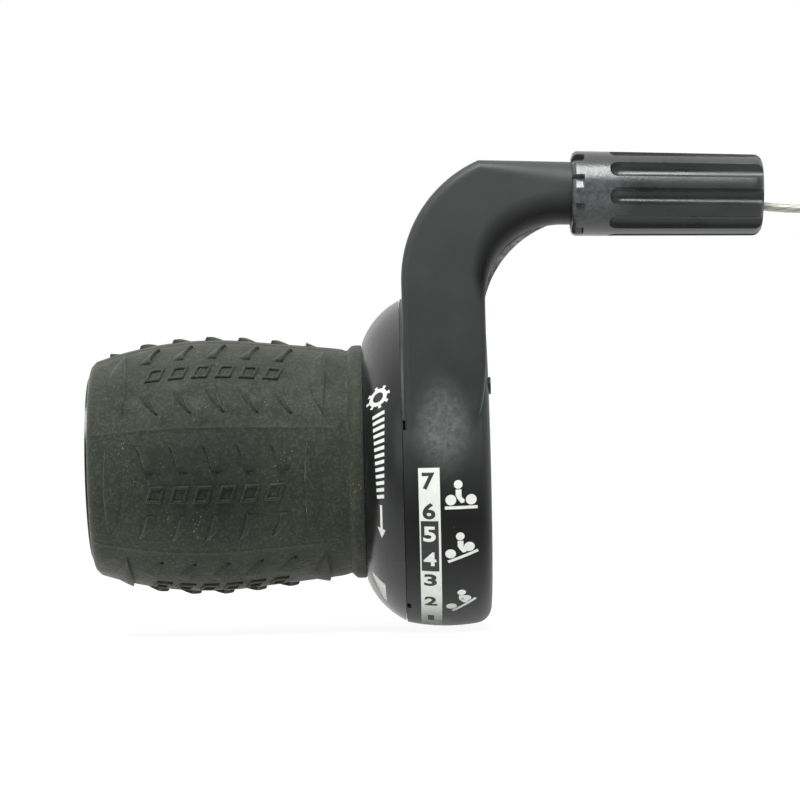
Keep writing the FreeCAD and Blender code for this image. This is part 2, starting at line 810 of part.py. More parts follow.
# End stop, which runs in the collar's window
stop = outline(
    new_sketch(core, "stop_profile", "YZ_Plane", lift="-part_gap"),
    [
        polar("spool_r - stop_rise", "-wrap_r * tan(stop_span / 2)", "stop_at"),
        polar("spool_r + stop_rise", "-wrap_r * tan(stop_span / 2)", "stop_at"),
        polar("spool_r + stop_rise", "wrap_r * tan(stop_span / 2)", "stop_at"),
        polar("spool_r - stop_rise", "wrap_r * tan(stop_span / 2)", "stop_at"),
    ],
)
pushed(core, "Pad", "stop", stop, f"{CUP_FLOOR} - part_gap", other_way=True)

# Leaf spring's slot in the drum
NOSE_TOP = f"({CAVITY_R} + scallop_depth - seat_gap)"
NOSE_AT_R = f"({NOSE_TOP} - nose_r)"
LEG_END = "(nose_r * sin(leaf_slope) + leaf_leg * cos(leaf_slope))"
LEG_LOW = f"({NOSE_AT_R} + (nose_r - leaf_thick) * cos(leaf_slope) - leaf_leg * sin(leaf_slope))"
slot = outline(
    new_sketch(core, "spring_slot_profile", "YZ_Plane", lift="-part_gap / 2"),
    [
        polar(f"{LEG_LOW} - seat_gap", f"-{LEG_END} - part_gap", "spring_at"),
        polar("spool_r + part_gap", f"-{LEG_END} - part_gap", "spring_at"),
        polar("spool_r + part_gap", f"{LEG_END} + part_gap", "spring_at"),
        polar(f"{LEG_LOW} - seat_gap", f"{LEG_END} + part_gap", "spring_at"),
    ],
)
pushed(core, "Pocket", "spring_slot", slot, "leaf_wide + part_gap")

# Pocket for the wire's cast head, open at the rim
head_pocket = outline(
    new_sketch(core, "head_pocket_profile", "YZ_Plane", lift="wire_x"),
    [
        polar("wrap_r - head_d / 2 - run_gap", "-head_len / 2 - run_gap", "head_at"),
        polar("spool_r + part_gap", "-head_len / 2 - run_gap", "head_at"),
        polar("spool_r + part_gap", "head_len / 2 + run_gap", "head_at"),
        polar("wrap_r - head_d / 2 - run_gap", "head_len / 2 + run_gap", "head_at"),
    ],
)
pushed(core, "Pocket", "head_pocket", head_pocket, "head_d + 2 * run_gap", both_ways=True)

# Leaf spring: a chevron strip whose nose sits in the first gear's scallop

leaf = new_body("detent_spring")


def leaf_point(radius, along, side):
    """Point of the strip at a radius of the nose and a distance down one leg."""
    across = f"{side} * (({radius}) * sin(leaf_slope) + ({along}) * cos(leaf_slope))"
    out = f"{NOSE_AT_R} + ({radius}) * cos(leaf_slope) - ({along}) * sin(leaf_slope)"
    return polar(out, across, "spring_at")


leaf_profile = outline(
    new_sketch(leaf, "leaf_profile", "YZ_Plane", lift="-part_gap"),
    [
        leaf_point("nose_r", "leaf_leg", "-1"),
        leaf_point("nose_r - leaf_thick", "leaf_leg", "-1"),
        (*leaf_point("nose_r - leaf_thick", "0", "-1"), "nose_r - leaf_thick"),
        leaf_point("nose_r - leaf_thick", "0", "1"),
        leaf_point("nose_r - leaf_thick", "leaf_leg", "1"),
        leaf_point("nose_r", "leaf_leg", "1"),
        (*leaf_point("nose_r", "0", "1"), "-nose_r"),
        leaf_point("nose_r", "0", "-1"),
    ],
)
pushed(leaf, "Pad", "leaf_pad", leaf_profile, "leaf_wide", other_way=True)

# Rubber sleeve: barrel profile over the core, with slots for its ribs

rubber = new_body("rubber_form")
rubber_profile = outline(
    new_sketch(rubber, "rubber_profile", "XZ_Plane"),
    [
        ("-grip_len", "lip_r + seat_gap"),
        ("taper_len - grip_len", "barrel_r + seat_gap"),
        ("-part_gap - flange_w - seat_gap", "barrel_r + seat_gap"),
        ("-part_gap - flange_w - seat_gap", RIM_BEAD_R),
        ("-part_gap - flange_w - rim_bead_w", RIM_BEAD_R),
        ("-neck_at", NECK_R),
        ("-cone_start", CONE_R, "belly_r"),
        ("-grip_len", RUBBER_END_R),
    ],
)
turned(rubber, "Revolution", "rubber_turned", rubber_profile)
rounded(
    rubber,
    "rubber_end_round",
    "rubber_round",
    lambda e: is_ring_edge(e, -value("grip_len"), value(RUBBER_END_R)),
)
rib_slot = outline(
    new_sketch(rubber, "rib_slot_profile", "YZ_Plane", lift="seat_gap - rib_start"),
    [
        ("barrel_r - rib_rise", "-rib_w / 2 - seat_gap"),
        ("barrel_r + rib_rise + seat_gap", "-rib_w / 2 - seat_gap"),
        ("barrel_r + rib_rise + seat_gap", "rib_w / 2 + seat_gap"),
        ("barrel_r - rib_rise", "rib_w / 2 + seat_gap"),
    ],
)
rib_slot_cut = pushed(rubber, "Pocket", "rib_slot", rib_slot, "rib_len + 2 * seat_gap")
repeated(rubber, "rib_slots", [rib_slot_cut], rib_slot, "rib_count")

# Tread: the skin that the fins reach up to, then fins as prisms trimmed by it

skin = new_body("tread_skin")
skin_profile = outline(
    new_sketch(skin, "skin_profile", "XZ_Plane"),
    [
        ("-grip_len", "0"),
        ("-neck_at", "0"),
        ("-neck_at", f"{NECK_R} + fin_rise"),
        ("-cone_start", f"{CONE_R} + fin_rise", "belly_r + fin_rise"),
        ("-grip_len", f"{RUBBER_END_R} + fin_rise"),
    ],
)
turned(skin, "Revolution", "skin_turned", skin_profile)
doc.recompute()


def bowed(start, end, radius):
    """Arc from start to end whose centre lies to the left of the way."""
    way = end - start
    left = Vector(-way.y, way.x, 0).normalize() * math.copysign(1, radius)
    reach = math.sqrt(radius**2 - (way.Length / 2) ** 2)
    return Part.Arc(start, (start + end) / 2 + left * (reach - abs(radius)), end).toShape()


def fin_outline(x, side):
    """Curved fin: flat base at the band, tip leaning inboard, on one side of the band."""
    base = Vector(x, side * value("band_half"), 0)
    heel = base + Vector(value("fin_base"), 0, 0)
    tip = base + Vector(value("fin_lean"), side * value("fin_len"), 0)
    bow = value("fin_bow_r")
    return Part.Wire(
        [
            Part.LineSegment(base, heel).toShape(),
            bowed(heel, tip, -side * bow),
            bowed(tip, base, side * bow),
        ]
    )


def crescent_outline(x):
    """Long crescent across the band, pointed at both ends."""
    low = Vector(x + value("fin_lean"), -value("crescent_half"), 0)
    high = Vector(x + value("fin_lean"), value("crescent_half"), 0)
    bow = value("crescent_bow_r")
    rise = bow - math.sqrt(bow**2 - value("crescent_half") ** 2)
    inner_rise = rise - value("crescent_w")
    inner_bow = (value("crescent_half") ** 2 + inner_rise**2) / (2 * inner_rise)
    return Part.Wire([bowed(high, low, bow), bowed(low, high, -inner_bow)])


def tread_panel(turn):
    """One panel's fins and crescents, flat in X and the way across, turned end for end or not."""
    pitch = value("fin_pitch")
    half = (int(value("fin_count")) - 1) / 2
    middle = value("panel_x") - value("fin_lean") / 2
    wires = []
    for place in range(int(value("fin_count"))):
        x = middle + (place - half) * pitch
        wires += [fin_outline(x, side) for side in (-1, 1)]
    for side in (-1, 1):
        wires.append(crescent_outline(middle + side * (half + 1) * pitch))
    for wire in wires:
        wire.rotate(Vector(value("panel_x"), 0, 0), Vector(0, 0, 1), turn)
    return wires


def raised(wire):
    """Fin as a solid, from the flat outline out to the tread's skin."""
    foot = value("barrel_r + rib_rise + 4 * seat_gap")
    middle = wire.BoundBox.Center
    lean = math.degrees(middle.y / value(CONE_R))
    flat = wire.copy()
    flat.translate(Vector(0, -middle.y, foot))
    prism = Part.Face(flat).extrude(Vector(0, 0, value(f"{CONE_R} + 2 * fin_rise") - foot))
    prism.rotate(Vector(), Vector(1, 0, 0), -lean)
    return prism.common(skin.Shape)


def tread():
    """Fins of all panels, every other one turned end for end."""
    step = 360 / value("panel_count")
    kinds = [[raised(wire) for wire in tread_panel(turn)] for turn in (0, 180)]
    fins = []
    for panel in range(int(value("panel_count"))):
        angle = value("panel_at") - 90 + panel * step
        for fin in kinds[panel % 2]:
            copy = fin.copy()
            copy.rotate(Vector(), Vector(1, 0, 0), angle)
            fins.append(copy)
    return Part.makeCompound(fins)


grip_rubber = fuse("grip_rubber", [rubber, form("tread_fins", tread())])

# The wire's cast head, and the wire from the head round the spool to the adjuster

head = new_body("cable_nipple")
head_profile = new_sketch(head, "head_profile", "YZ_Plane")
circle(head_profile, "0", "0", "head_d")
pushed(head, "Pad", "head_pad", head_profile, "head_len", both_ways=True)
head_turn = Rotation(Vector(1, 0, 0), value("head_at"))
head_middle = head_turn.multVec(Vector(value("wire_x"), value("wrap_r"), 0))
head.Placement = Placement(head_middle, head_turn.multiply(Rotation(Vector(0, 1, 0), 90)))


def wrap_point(angle):
    """Point of the wire's wrap at an angle round the bar."""
    return Vector(
        value("wire_x"), value("wrap_r") * math.cos(angle), value("wrap_r") * math.sin(angle)
    )


def inner_route():
    """The wrap on the spool, then the run up the arm and round the elbow."""
    behind = math.asin(value("(head_len / 2 + seat_gap) / (wrap_r - wire_d / 2)"))
    start = math.radians(value("head_at")) - behind
    end = math.pi + lean_angle()
    points = duct_points(WIRE_ROUTE[0][0] - value("part_gap"))
    arc = Part.Arc(wrap_point(start), wrap_point((start + end) / 2), points[0])
    return Part.Wire([arc.toShape(), *route(points, duct_radii).Edges])


cable_inner = swept("cable_inner", inner_route(), "wire_d")

# Barrel adjuster: fluted knob whose skirt covers the tube and whose stem screws into it

knob = new_body("adjuster_knob")
knob_profile = outline(
    new_sketch(knob, "knob_profile", "XZ_Plane"),
    [
        (STEM_BACK, "wire_hole_d / 2"),
        ("knob_len - socket_deep - casing_seat_thick", "wire_hole_d / 2"),
        ("knob_len - socket_deep - casing_seat_thick", "socket_d / 2"),
        ("knob_len", "socket_d / 2"),
        ("knob_len", "knob_end_d / 2"),
        ("0", "knob_d / 2"),
        ("0", f"{TUBE_R} + part_gap"),
        ("skirt_deep", f"{TUBE_R} + part_gap"),
        ("skirt_deep", "stem_d / 2"),
        (STEM_BACK, "stem_d / 2"),
    ],
)
turned(knob, "Revolution", "knob_turned", knob_profile)
rounded(knob, "knob_round_left", "knob_round", lambda e: is_ring_edge(e, 0, value("knob_d / 2")))
rounded(
    knob,
    "knob_round_right",
    "knob_end_round",
    lambda e: is_ring_edge(e, value("knob_len"), value("knob_end_d / 2")),
)

# Flutes: a round-bottomed channel with a ball end, and a step in the rim before each
flute_bed = polar("flute_bed_r", "0", "flute_first")
flute_start = new_sketch(knob, "flute_profile", "YZ_Plane", lift="flute_start + flute_r")
circle(flute_start, *flute_bed, "2 * flute_r")
flute = pushed(knob, "Pocket", "flute", flute_start, "knob_len", other_way=True)
repeated(knob, "flutes", [flute], flute_start, "flute_count")
ball = knob.newObject("PartDesign::SubtractiveSphere", "flute_ball")
ball.setExpression("Radius", bound("flute_r"))
ball.Placement = Placement(
    Vector(value("flute_start + flute_r"), value(flute_bed[0]), value(flute_bed[1])), Rotation()
)
repeated(knob, "flute_balls", [ball], flute_start, "flute_count")
INDEX_AT = "(flute_first + 180 / flute_count)"
index_step = outline(
    new_sketch(knob, "index_profile", "YZ_Plane"),
    [
        polar("knob_d / 2 - index_deep", "-index_w / 2", INDEX_AT),
        polar("knob_d / 2 + index_deep", "-index_w / 2", INDEX_AT),
        polar("knob_d / 2 + index_deep", "index_w / 2", INDEX_AT),
    ],
)
index_cut = pushed(knob, "Pocket", "index_step", index_step, "index_len", other_way=True)
repeated(knob, "index_steps", [index_cut], index_step, "flute_count")
knob.Placement = adjuster_place

# Steel washer at the bottom of the knob's socket

SEAT_AT = "(knob_len - socket_deep - casing_seat_thick)"
seat = new_body("casing_seat")
seat_profile = new_sketch(seat, "seat_profile", "YZ_Plane", lift=f"{SEAT_AT} + seat_gap")
circle(seat_profile, "0", "0", "socket_d - 2 * run_gap")
circle(seat_profile, "0", "0", "wire_hole_d")
pushed(seat, "Pad", "seat_pad", seat_profile, "casing_seat_thick")
seat.Placement = adjuster_place

# Free wire: from the adjuster's bore out to the coil

tail_points = [Vector(x, value(DUCT_Y), z) for x, z in WIRE_ROUTE]


def widest_radius(before, corner, after):
    """Arc at a corner of the route that takes its share of the shorter run."""
    shorter = min((before - corner).Length, (after - corner).Length)
    half_turn = (corner - before).getAngle(after - corner) / 2
    return ARC_SHARE * shorter / math.tan(half_turn)


tail_radii = [widest_radius(*three) for three in zip(tail_points, tail_points[1:], tail_points[2:])]
tail_path = route(tail_points, tail_radii)
cable_tail = swept("cable_tail", tail_path, "wire_d")
print("wire bend radii", [round(radius, 1) for radius in tail_radii])

# Coil of the put-away length, hung from the wire by its tie

coil = new_body("cable_coil")
COIL_IN = "(coil_mid_r - coil_thick / 2)"
COIL_OUT = "(coil_mid_r + coil_thick / 2)"
coil_profile = outline(
    new_sketch(coil, "coil_profile", "XZ_Plane"),
    [
        ("-coil_wide / 2 + coil_round", COIL_IN),
        ("coil_wide / 2 - coil_round", COIL_IN, "coil_round"),
        ("coil_wide / 2", f"{COIL_IN} + coil_round"),
        ("coil_wide / 2", f"{COIL_OUT} - coil_round", "coil_round"),
        ("coil_wide / 2 - coil_round", COIL_OUT),
        ("-coil_wide / 2 + coil_round", COIL_OUT, "coil_round"),
        ("-coil_wide / 2", f"{COIL_OUT} - coil_round"),
        ("-coil_wide / 2", f"{COIL_IN} + coil_round", "coil_round"),
    ],
)
turned(coil, "Revolution", "coil_turned", coil_profile)
coil_middle = Vector(value("coil_x"), value(DUCT_Y), value("coil_z"))
coil.Placement = Placement(coil_middle, Rotation(Vector(0, 0, 1), 90))

tie_hole = [
    ("-coil_wide / 2 - tie_gap", f"{COIL_IN} - tie_gap"),
    ("coil_wide / 2 + tie_gap", f"{COIL_IN} - tie_gap"),
    ("coil_wide / 2 + tie_gap", f"{COIL_OUT} + tie_room"),
    ("-coil_wide / 2 - tie_gap", f"{COIL_OUT} + tie_room"),
]
tie_outside = [
    ("-coil_wide / 2 - tie_gap - tie_thick", f"{COIL_IN} - tie_gap - tie_thick"),
    ("coil_wide / 2 + tie_gap + tie_thick", f"{COIL_IN} - tie_gap - tie_thick"),
    ("coil_wide / 2 + tie_gap + tie_thick", f"{COIL_OUT} + tie_room + tie_thick"),
    ("-coil_wide / 2 - tie_gap - tie_thick", f"{COIL_OUT} + tie_room + tie_thick"),
]
tie = new_body("coil_tie")
tie_band = outline(new_sketch(tie, "tie_profile", "XZ_Plane"), tie_outside)
pushed(tie, "Pad", "tie_band", tie_band, "tie_wide", both_ways=True)
tie_opening = outline(new_sketch(tie, "tie_opening_profile", "XZ_Plane"), tie_hole)
pushed(tie, "Pocket", "tie_opening", tie_opening, "2 * tie_wide", both_ways=True)
tie_turn = Rotation(Vector(0, 1, 0), value("90 - tie_at"))
tie.Placement = Placement(coil_middle, tie_turn.multiply(Rotation(Vector(0, 0, 1), 90)))

cap = new_body("cable_end_cap")
cap_profile = outline(
    new_sketch(cap, "cap_profile", "XZ_Plane"),
    [
        ("cap_hole_deep", "0"),
        ("cap_len", "0"),
        ("cap_len", "cap_d / 4"),
        ("cap_len - cap_d / 4", "cap_d / 2"),
        ("0", "cap_d / 2"),
        ("0", "wire_d / 2 + seat_gap"),
        ("cap_hole_deep", "wire_d / 2 + seat_gap"),
    ],
)
turned(cap, "Revolution", "cap_turned", cap_profile)
cap_turn = Rotation(Vector(0, 1, 0), value("90 - cap_at"))
cap_foot = Vector(0, -value("coil_wide / 2 + cap_d / 2 + run_gap"), value("coil_mid_r"))
cap.Placement = Placement(coil_middle + cap_turn.multVec(cap_foot), cap_turn)

# Checks and files

SUB_PARTS = [
    housing,
    elbow_cover,
    cover_screw_body,
    clamp_screw,
    core,
    grip_rubber,
    leaf,
    head,
    cable_inner,
    knob,
    seat,
    cable_tail,
    coil,
    tie,
    cap,
]

doc.recompute()
for item in doc.Objects:
    if "Invalid" in item.State or "Error" in item.State:
        raise RuntimeError(f"{item.Name}: {item.State}")
for part in SUB_PARTS:
    if part.Shape.isNull() or not part.Shape.isValid() or len(part.Shape.Solids) != 1:
        raise RuntimeError(f"{part.Label}: no single valid solid")

tail_volume = math.pi * value("wire_d / 2") ** 2 * tail_path.Length
print("wire volume over section times length", round(cable_tail.Shape.Volume / tail_volume, 4))

os.makedirs("parts", exist_ok=True)
for part in SUB_PARTS:
    part.Shape.exportStep(f"parts/{part.Label}.step")
    print(part.Label, round(part.Shape.Volume, 1), len(part.Shape.Faces))
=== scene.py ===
import math

import bmesh
import bpy
from mathutils import Matrix, Vector


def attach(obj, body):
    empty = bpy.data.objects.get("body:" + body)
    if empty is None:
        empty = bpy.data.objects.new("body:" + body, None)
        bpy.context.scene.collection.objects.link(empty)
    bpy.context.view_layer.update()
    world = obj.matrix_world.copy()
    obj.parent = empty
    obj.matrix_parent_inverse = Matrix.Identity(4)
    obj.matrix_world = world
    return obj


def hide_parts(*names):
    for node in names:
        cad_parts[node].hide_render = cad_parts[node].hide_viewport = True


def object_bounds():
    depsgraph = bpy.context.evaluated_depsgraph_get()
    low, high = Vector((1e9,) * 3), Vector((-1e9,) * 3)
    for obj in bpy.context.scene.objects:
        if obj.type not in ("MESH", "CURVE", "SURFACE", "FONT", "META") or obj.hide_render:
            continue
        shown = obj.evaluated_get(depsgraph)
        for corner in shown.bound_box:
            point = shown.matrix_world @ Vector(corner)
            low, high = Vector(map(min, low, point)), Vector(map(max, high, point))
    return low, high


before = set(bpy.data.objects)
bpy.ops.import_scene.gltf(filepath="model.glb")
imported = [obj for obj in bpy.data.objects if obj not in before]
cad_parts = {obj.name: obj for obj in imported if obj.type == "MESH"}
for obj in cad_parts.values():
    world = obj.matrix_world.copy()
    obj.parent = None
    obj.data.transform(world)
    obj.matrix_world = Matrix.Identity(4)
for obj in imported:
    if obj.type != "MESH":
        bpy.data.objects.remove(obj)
cad_box = [list(corner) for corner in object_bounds()]
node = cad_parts

# Camera: a long lens square to the bar, a little above its axis.
# The shifter lay slightly turned under it, so the camera is rolled by the same angle.
MM = 0.001
CAMERA_AT = Vector((-0.27, -540, 8.64)) * MM
CAMERA_LENS = 170.1
CAMERA_SENSOR = 36
CAMERA_ROLL = math.radians(1.5)

lens = bpy.data.cameras.new("camera")
lens.lens = CAMERA_LENS
lens.sensor_width = CAMERA_SENSOR
camera = bpy.data.objects.new("camera", lens)
bpy.context.scene.collection.objects.link(camera)
level = Matrix.Rotation(math.pi / 2, 4, "X") @ Matrix.Rotation(-CAMERA_ROLL, 4, "Z")
camera.matrix_world = Matrix.Translation(CAMERA_AT) @ level
bpy.context.scene.camera = camera
bpy.context.scene.view_settings.view_transform = "Standard"

# Light: a wide soft lamp above and in front, a weaker one from the left, and a pale room.
# The room is dim on the side of the camera.
# Straight on, and mirrored from behind the part, it is white.
LAMPS = [
    ("key_lamp", (-60, -300, 560), 380, 4.6),
    ("side_lamp", (-420, -380, 120), 300, 0.2),
]
ROOM_TOP = 0.75
ROOM_LOW = 0.28
ROOM_FRONT = 0.18
ROOM_RISE = (-0.4, 0.8)
ROOM_DEPTH = (-0.9, 0.1)
ROOM_BEHIND = (0.0, 0.4)
AIM = Vector((5, -10, 10)) * MM

for name, place, side, power in LAMPS:
    lamp = bpy.data.lights.new(name, "AREA")
    lamp.size = side * MM
    lamp.energy = power
    holder = bpy.data.objects.new(name, lamp)
    bpy.context.scene.collection.objects.link(holder)
    holder.location = Vector(place) * MM
    holder.rotation_euler = (AIM - holder.location).to_track_quat("-Z", "Y").to_euler()


def feed(tree, socket, given):
    """Sets an input to a value, or links it to the output that feeds it."""
    if isinstance(given, bpy.types.NodeSocket):
        tree.links.new(given, socket)
    else:
        socket.default_value = given


def put(tree, kind, settings=(), **inputs):
    """Adds a node with its settings, and its inputs by name."""
    made = tree.nodes.new(kind)
    for key, setting in dict(settings).items():
        setattr(made, key, setting)
    for key, given in inputs.items():
        feed(tree, made.inputs[key.replace("_", " ")], given)
    return made


def calc(tree, operation, *terms):
    """Adds a Math node and returns its output."""
    made = tree.nodes.new("ShaderNodeMath")
    made.operation = operation
    for socket, given in zip(made.inputs, terms):
        feed(tree, socket, given)
    return made.outputs[0]


def spread(tree, given, low, high, to_low=0.0, to_high=1.0, ease="LINEAR"):
    """Maps a range of a value on to another, held at both ends."""
    made = put(
        tree, "ShaderNodeMapRange", {"interpolation_type": ease},
        Value=given, From_Min=low, From_Max=high, To_Min=to_low, To_Max=to_high,
    )
    return made.outputs["Result"]


room = bpy.data.worlds.new("room")
room.use_nodes = True
bpy.context.scene.world = room
sky = room.node_tree
sky.nodes.clear()
way = put(sky, "ShaderNodeTexCoord").outputs["Generated"]
side_of = put(sky, "ShaderNodeSeparateXYZ", Vector=way).outputs
rays = put(sky, "ShaderNodeLightPath").outputs
soft = spread(sky, side_of["Z"], *ROOM_RISE, ROOM_LOW, ROOM_TOP)
soft = calc(sky, "MULTIPLY", soft, spread(sky, side_of["Y"], *ROOM_DEPTH, ROOM_FRONT))
mirrored = calc(sky, "MAXIMUM", rays["Is Glossy Ray"], rays["Is Transmission Ray"])
behind = calc(sky, "MULTIPLY", mirrored, spread(sky, side_of["Y"], *ROOM_BEHIND))
seen = calc(sky, "MAXIMUM", rays["Is Camera Ray"], behind)
strength = put(sky, "ShaderNodeMix", Factor=seen, A=soft, B=1.0).outputs["Result"]
background = put(sky, "ShaderNodeBackground", Color=(1, 1, 1, 1), Strength=strength)
sky.links.new(background.outputs[0], put(sky, "ShaderNodeOutputWorld").inputs["Surface"])

# Floor: plain white paper under the part, which keeps a faint shadow.
# Mirrored in the part it is dim towards the camera, like the room.
FLOOR_DROP = 0.4 * MM
FLOOR_HALF = 3.0
FLOOR_GLOW = 0.82
FLOOR_BRIGHT = 1.13
FLOOR_FRONT = (-0.05, 0.01)
FLOOR_DIM = 0.1
PAPER_GRAIN = 900.0
PAPER_SHADES = ((0.92, 0.92, 0.915, 1), (0.95, 0.95, 0.945, 1))


def tint(tree, share, first, second):
    """Mix of two colours, each a colour or an output."""
    made = tree.nodes.new("ShaderNodeMix")
    made.data_type = "RGBA"
    feed(tree, made.inputs["Factor"], share)
    feed(tree, made.inputs[6], first)
    feed(tree, made.inputs[7], second)
    return made.outputs[2]


paper = bpy.data.materials.new("white_paper")
paper.use_nodes = True
tree = paper.node_tree
tree.nodes.clear()
rays = put(tree, "ShaderNodeLightPath").outputs
mirrored = calc(tree, "MAXIMUM", rays["Is Glossy Ray"], rays["Is Transmission Ray"])
seen = calc(tree, "MAXIMUM", rays["Is Camera Ray"], mirrored)
grain = put(tree, "ShaderNodeTexNoise", Scale=PAPER_GRAIN, Detail=3.0).outputs["Fac"]
matt = put(tree, "ShaderNodeBsdfDiffuse", Color=tint(tree, grain, *PAPER_SHADES))
place = put(tree, "ShaderNodeTexCoord").outputs["Object"]
spot = put(tree, "ShaderNodeSeparateXYZ", Vector=place).outputs
lit = calc(tree, "MAXIMUM", rays["Is Camera Ray"], spread(tree, spot["Y"], *FLOOR_FRONT, FLOOR_DIM))
bright = calc(tree, "MULTIPLY", lit, FLOOR_BRIGHT)
glow = put(tree, "ShaderNodeEmission", Color=(1, 1, 1, 1), Strength=bright)
blend = put(tree, "ShaderNodeMixShader", Fac=calc(tree, "MULTIPLY", seen, FLOOR_GLOW))
tree.links.new(matt.outputs[0], blend.inputs[1])
tree.links.new(glow.outputs[0], blend.inputs[2])
tree.links.new(blend.outputs[0], put(tree, "ShaderNodeOutputMaterial").inputs["Surface"])

floor_z = cad_box[0][2] - FLOOR_DROP
corners = [(-1, -1), (1, -1), (1, 1), (-1, 1)]
sheet = bpy.data.meshes.new("floor")
sheet.from_pydata([(x * FLOOR_HALF, y * FLOOR_HALF, floor_z) for x, y in corners], [], [(0, 1, 2, 3)])
sheet.materials.append(paper)
floor = bpy.data.objects.new("floor", sheet)
bpy.context.scene.collection.objects.link(floor)

# Housing: ring round the bar, arm and elbow, one moulding in satin black glass-filled plastic.
# Its skin has the mould's fine spark texture, painted shade inside the bend and on the ring below its axis
# round the print, painted light that makes its upper parts paler, and a hazy rub mark on the front of the
# ring that is partly a painted highlight.
HOUSING_BLACK = (0.026, 0.03, 0.028, 1)
# Paler tone, for the plastic's cloudy variation and for the painted light on the housing's upper parts
HOUSING_WORN_AND_LIT = (0.06, 0.066, 0.063, 1)
HOUSING_ROUGH = (0.36, 0.5)
HOUSING_SPARK = 3400.0
HOUSING_BUMP = 0.35
HOUSING_SPECULAR = 0.38
SPARK_DEEP = 0.02 * MM
CLOUD_SPAN = (0.34, 0.66)
CLOUD_SCALE = 110.0
CLOUD_SHARE = 0.22
DUST_PATCH = 160.0
DUST_SPAN = (0.4, 0.7)
DUST_SCALE = 700.0
DUST_COVER = 0.045
DUST_SHARE = 0.5
DUST_GREY = (0.3, 0.3, 0.28, 1)
# Pale patch on the ring's front: rub wear and a painted highlight
RUB_HIGHLIGHT = (0.15, 0.157, 0.152, 1)
RUB_HIGHLIGHT_AT = Vector((5.4, -23, 4.5)) * MM
RUB_HIGHLIGHT_REACH = Vector((4.9, 9.0, 8.8)) * MM
PATCH_CORE = 0.15
RUB_GLOSS = 0.12
STREAK_SCALE = 1100.0
STREAK_SPAN = (0.38, 0.64)
STREAK_LEAST = 0.25
BEND_X = 22.25
BEND_Z = 21.74
BEND_R = 10.5
BEND_GROWN = math.radians(48)
BEND_ROUNDS = (1.2, 4.6)
BEND_START = (-0.05, 0.3)
BEND_FADE = (0.35, 1.0)
# Ring below its axis darker, fading out towards its foot: painted shade
RING_SHADE_SPAN = (2.5, -8.0)
RING_SHADE_FOOT = (-24.0, -12.0)
RING_SHADE_SHARE = 0.9
# Upper parts paler towards the elbow's top: painted light
LIT_TOP_SPAN = (14.0, 40.0)
LIT_TOP_SHARE = 0.6
# Near black: painted shade
PAINTED_SHADE = (0.001, 0.0015, 0.0012, 1)


def new_group(name, inputs, outputs):
    """Shader node group with named inputs, each of a kind, and named float outputs."""
    group = bpy.data.node_groups.new(name, "ShaderNodeTree")
    for label, kind in inputs.items():
        group.interface.new_socket(label, in_out="INPUT", socket_type=f"NodeSocket{kind}")
    for label in outputs:
        group.interface.new_socket(label, in_out="OUTPUT", socket_type="NodeSocketFloat")
    return group, group.nodes.new("NodeGroupInput").outputs, group.nodes.new("NodeGroupOutput").inputs


def place_group(tree, group, **inputs):
    """Adds a node group with its inputs by name, and returns its outputs."""
    made = tree.nodes.new("ShaderNodeGroup")
    made.node_tree = group
    for key, given in inputs.items():
        feed(tree, made.inputs[key.replace("_", " ")], given)
    return made.outputs


def vector_calc(tree, operation, *terms):
    """Adds a Vector Math node and returns its outputs."""
    made = tree.nodes.new("ShaderNodeVectorMath")
    made.operation = operation
    for socket, given in zip(made.inputs, terms):
        feed(tree, socket, given)
    return made.outputs


# Fine spark texture of a mould, and slow cloudy variation of the plastic
spark, given, out = new_group(
    "mould_spark", {"Spark Scale": "Float", "Cloud Scale": "Float"}, ["Height", "Cloud"]
)
place = put(spark, "ShaderNodeTexCoord").outputs["Object"]
fine = put(spark, "ShaderNodeTexNoise", Vector=place, Scale=given["Spark Scale"], Detail=2.0)
cloud = put(spark, "ShaderNodeTexNoise", Vector=place, Scale=given["Cloud Scale"], Detail=6.0, Roughness=0.65)
spark.links.new(fine.outputs["Fac"], out["Height"])
spark.links.new(spread(spark, cloud.outputs["Fac"], *CLOUD_SPAN), out["Cloud"])

# Specks of dust that cling in patches
dust, given, out = new_group("dust_specks", {"Scale": "Float", "Cover": "Float"}, ["Mask"])
place = put(dust, "ShaderNodeTexCoord").outputs["Object"]
cells = put(dust, "ShaderNodeTexVoronoi", Vector=place, Scale=given["Scale"]).outputs["Distance"]
patch = put(dust, "ShaderNodeTexNoise", Vector=place, Scale=DUST_PATCH, Detail=4.0).outputs["Fac"]
room_for = calc(dust, "MULTIPLY", given["Cover"], spread(dust, patch, *DUST_SPAN))
dust.links.new(calc(dust, "LESS_THAN", cells, room_for), out["Mask"])

# Soft patch round a place, broken up by streaks: rub marks, painted highlights, and painted shade on the
# rubber
rub_and_light_patch, given, out = new_group("rub_and_painted_light_patch", {"Place": "Vector", "Reach": "Vector"}, ["Mask"])
place = put(rub_and_light_patch, "ShaderNodeTexCoord").outputs["Object"]
away = vector_calc(rub_and_light_patch, "SUBTRACT", place, given["Place"])["Vector"]
away = vector_calc(rub_and_light_patch, "DIVIDE", away, given["Reach"])["Vector"]
far = vector_calc(rub_and_light_patch, "LENGTH", away)["Value"]
near = spread(rub_and_light_patch, far, PATCH_CORE, 1.0, 1.0, 0.0, "SMOOTHSTEP")
streak = put(rub_and_light_patch, "ShaderNodeTexNoise", Vector=place, Scale=STREAK_SCALE, Detail=8.0, Roughness=0.8)
broken = spread(rub_and_light_patch, streak.outputs["Fac"], *STREAK_SPAN, STREAK_LEAST)
rub_and_light_patch.links.new(calc(rub_and_light_patch, "MULTIPLY", near, broken), out["Mask"])
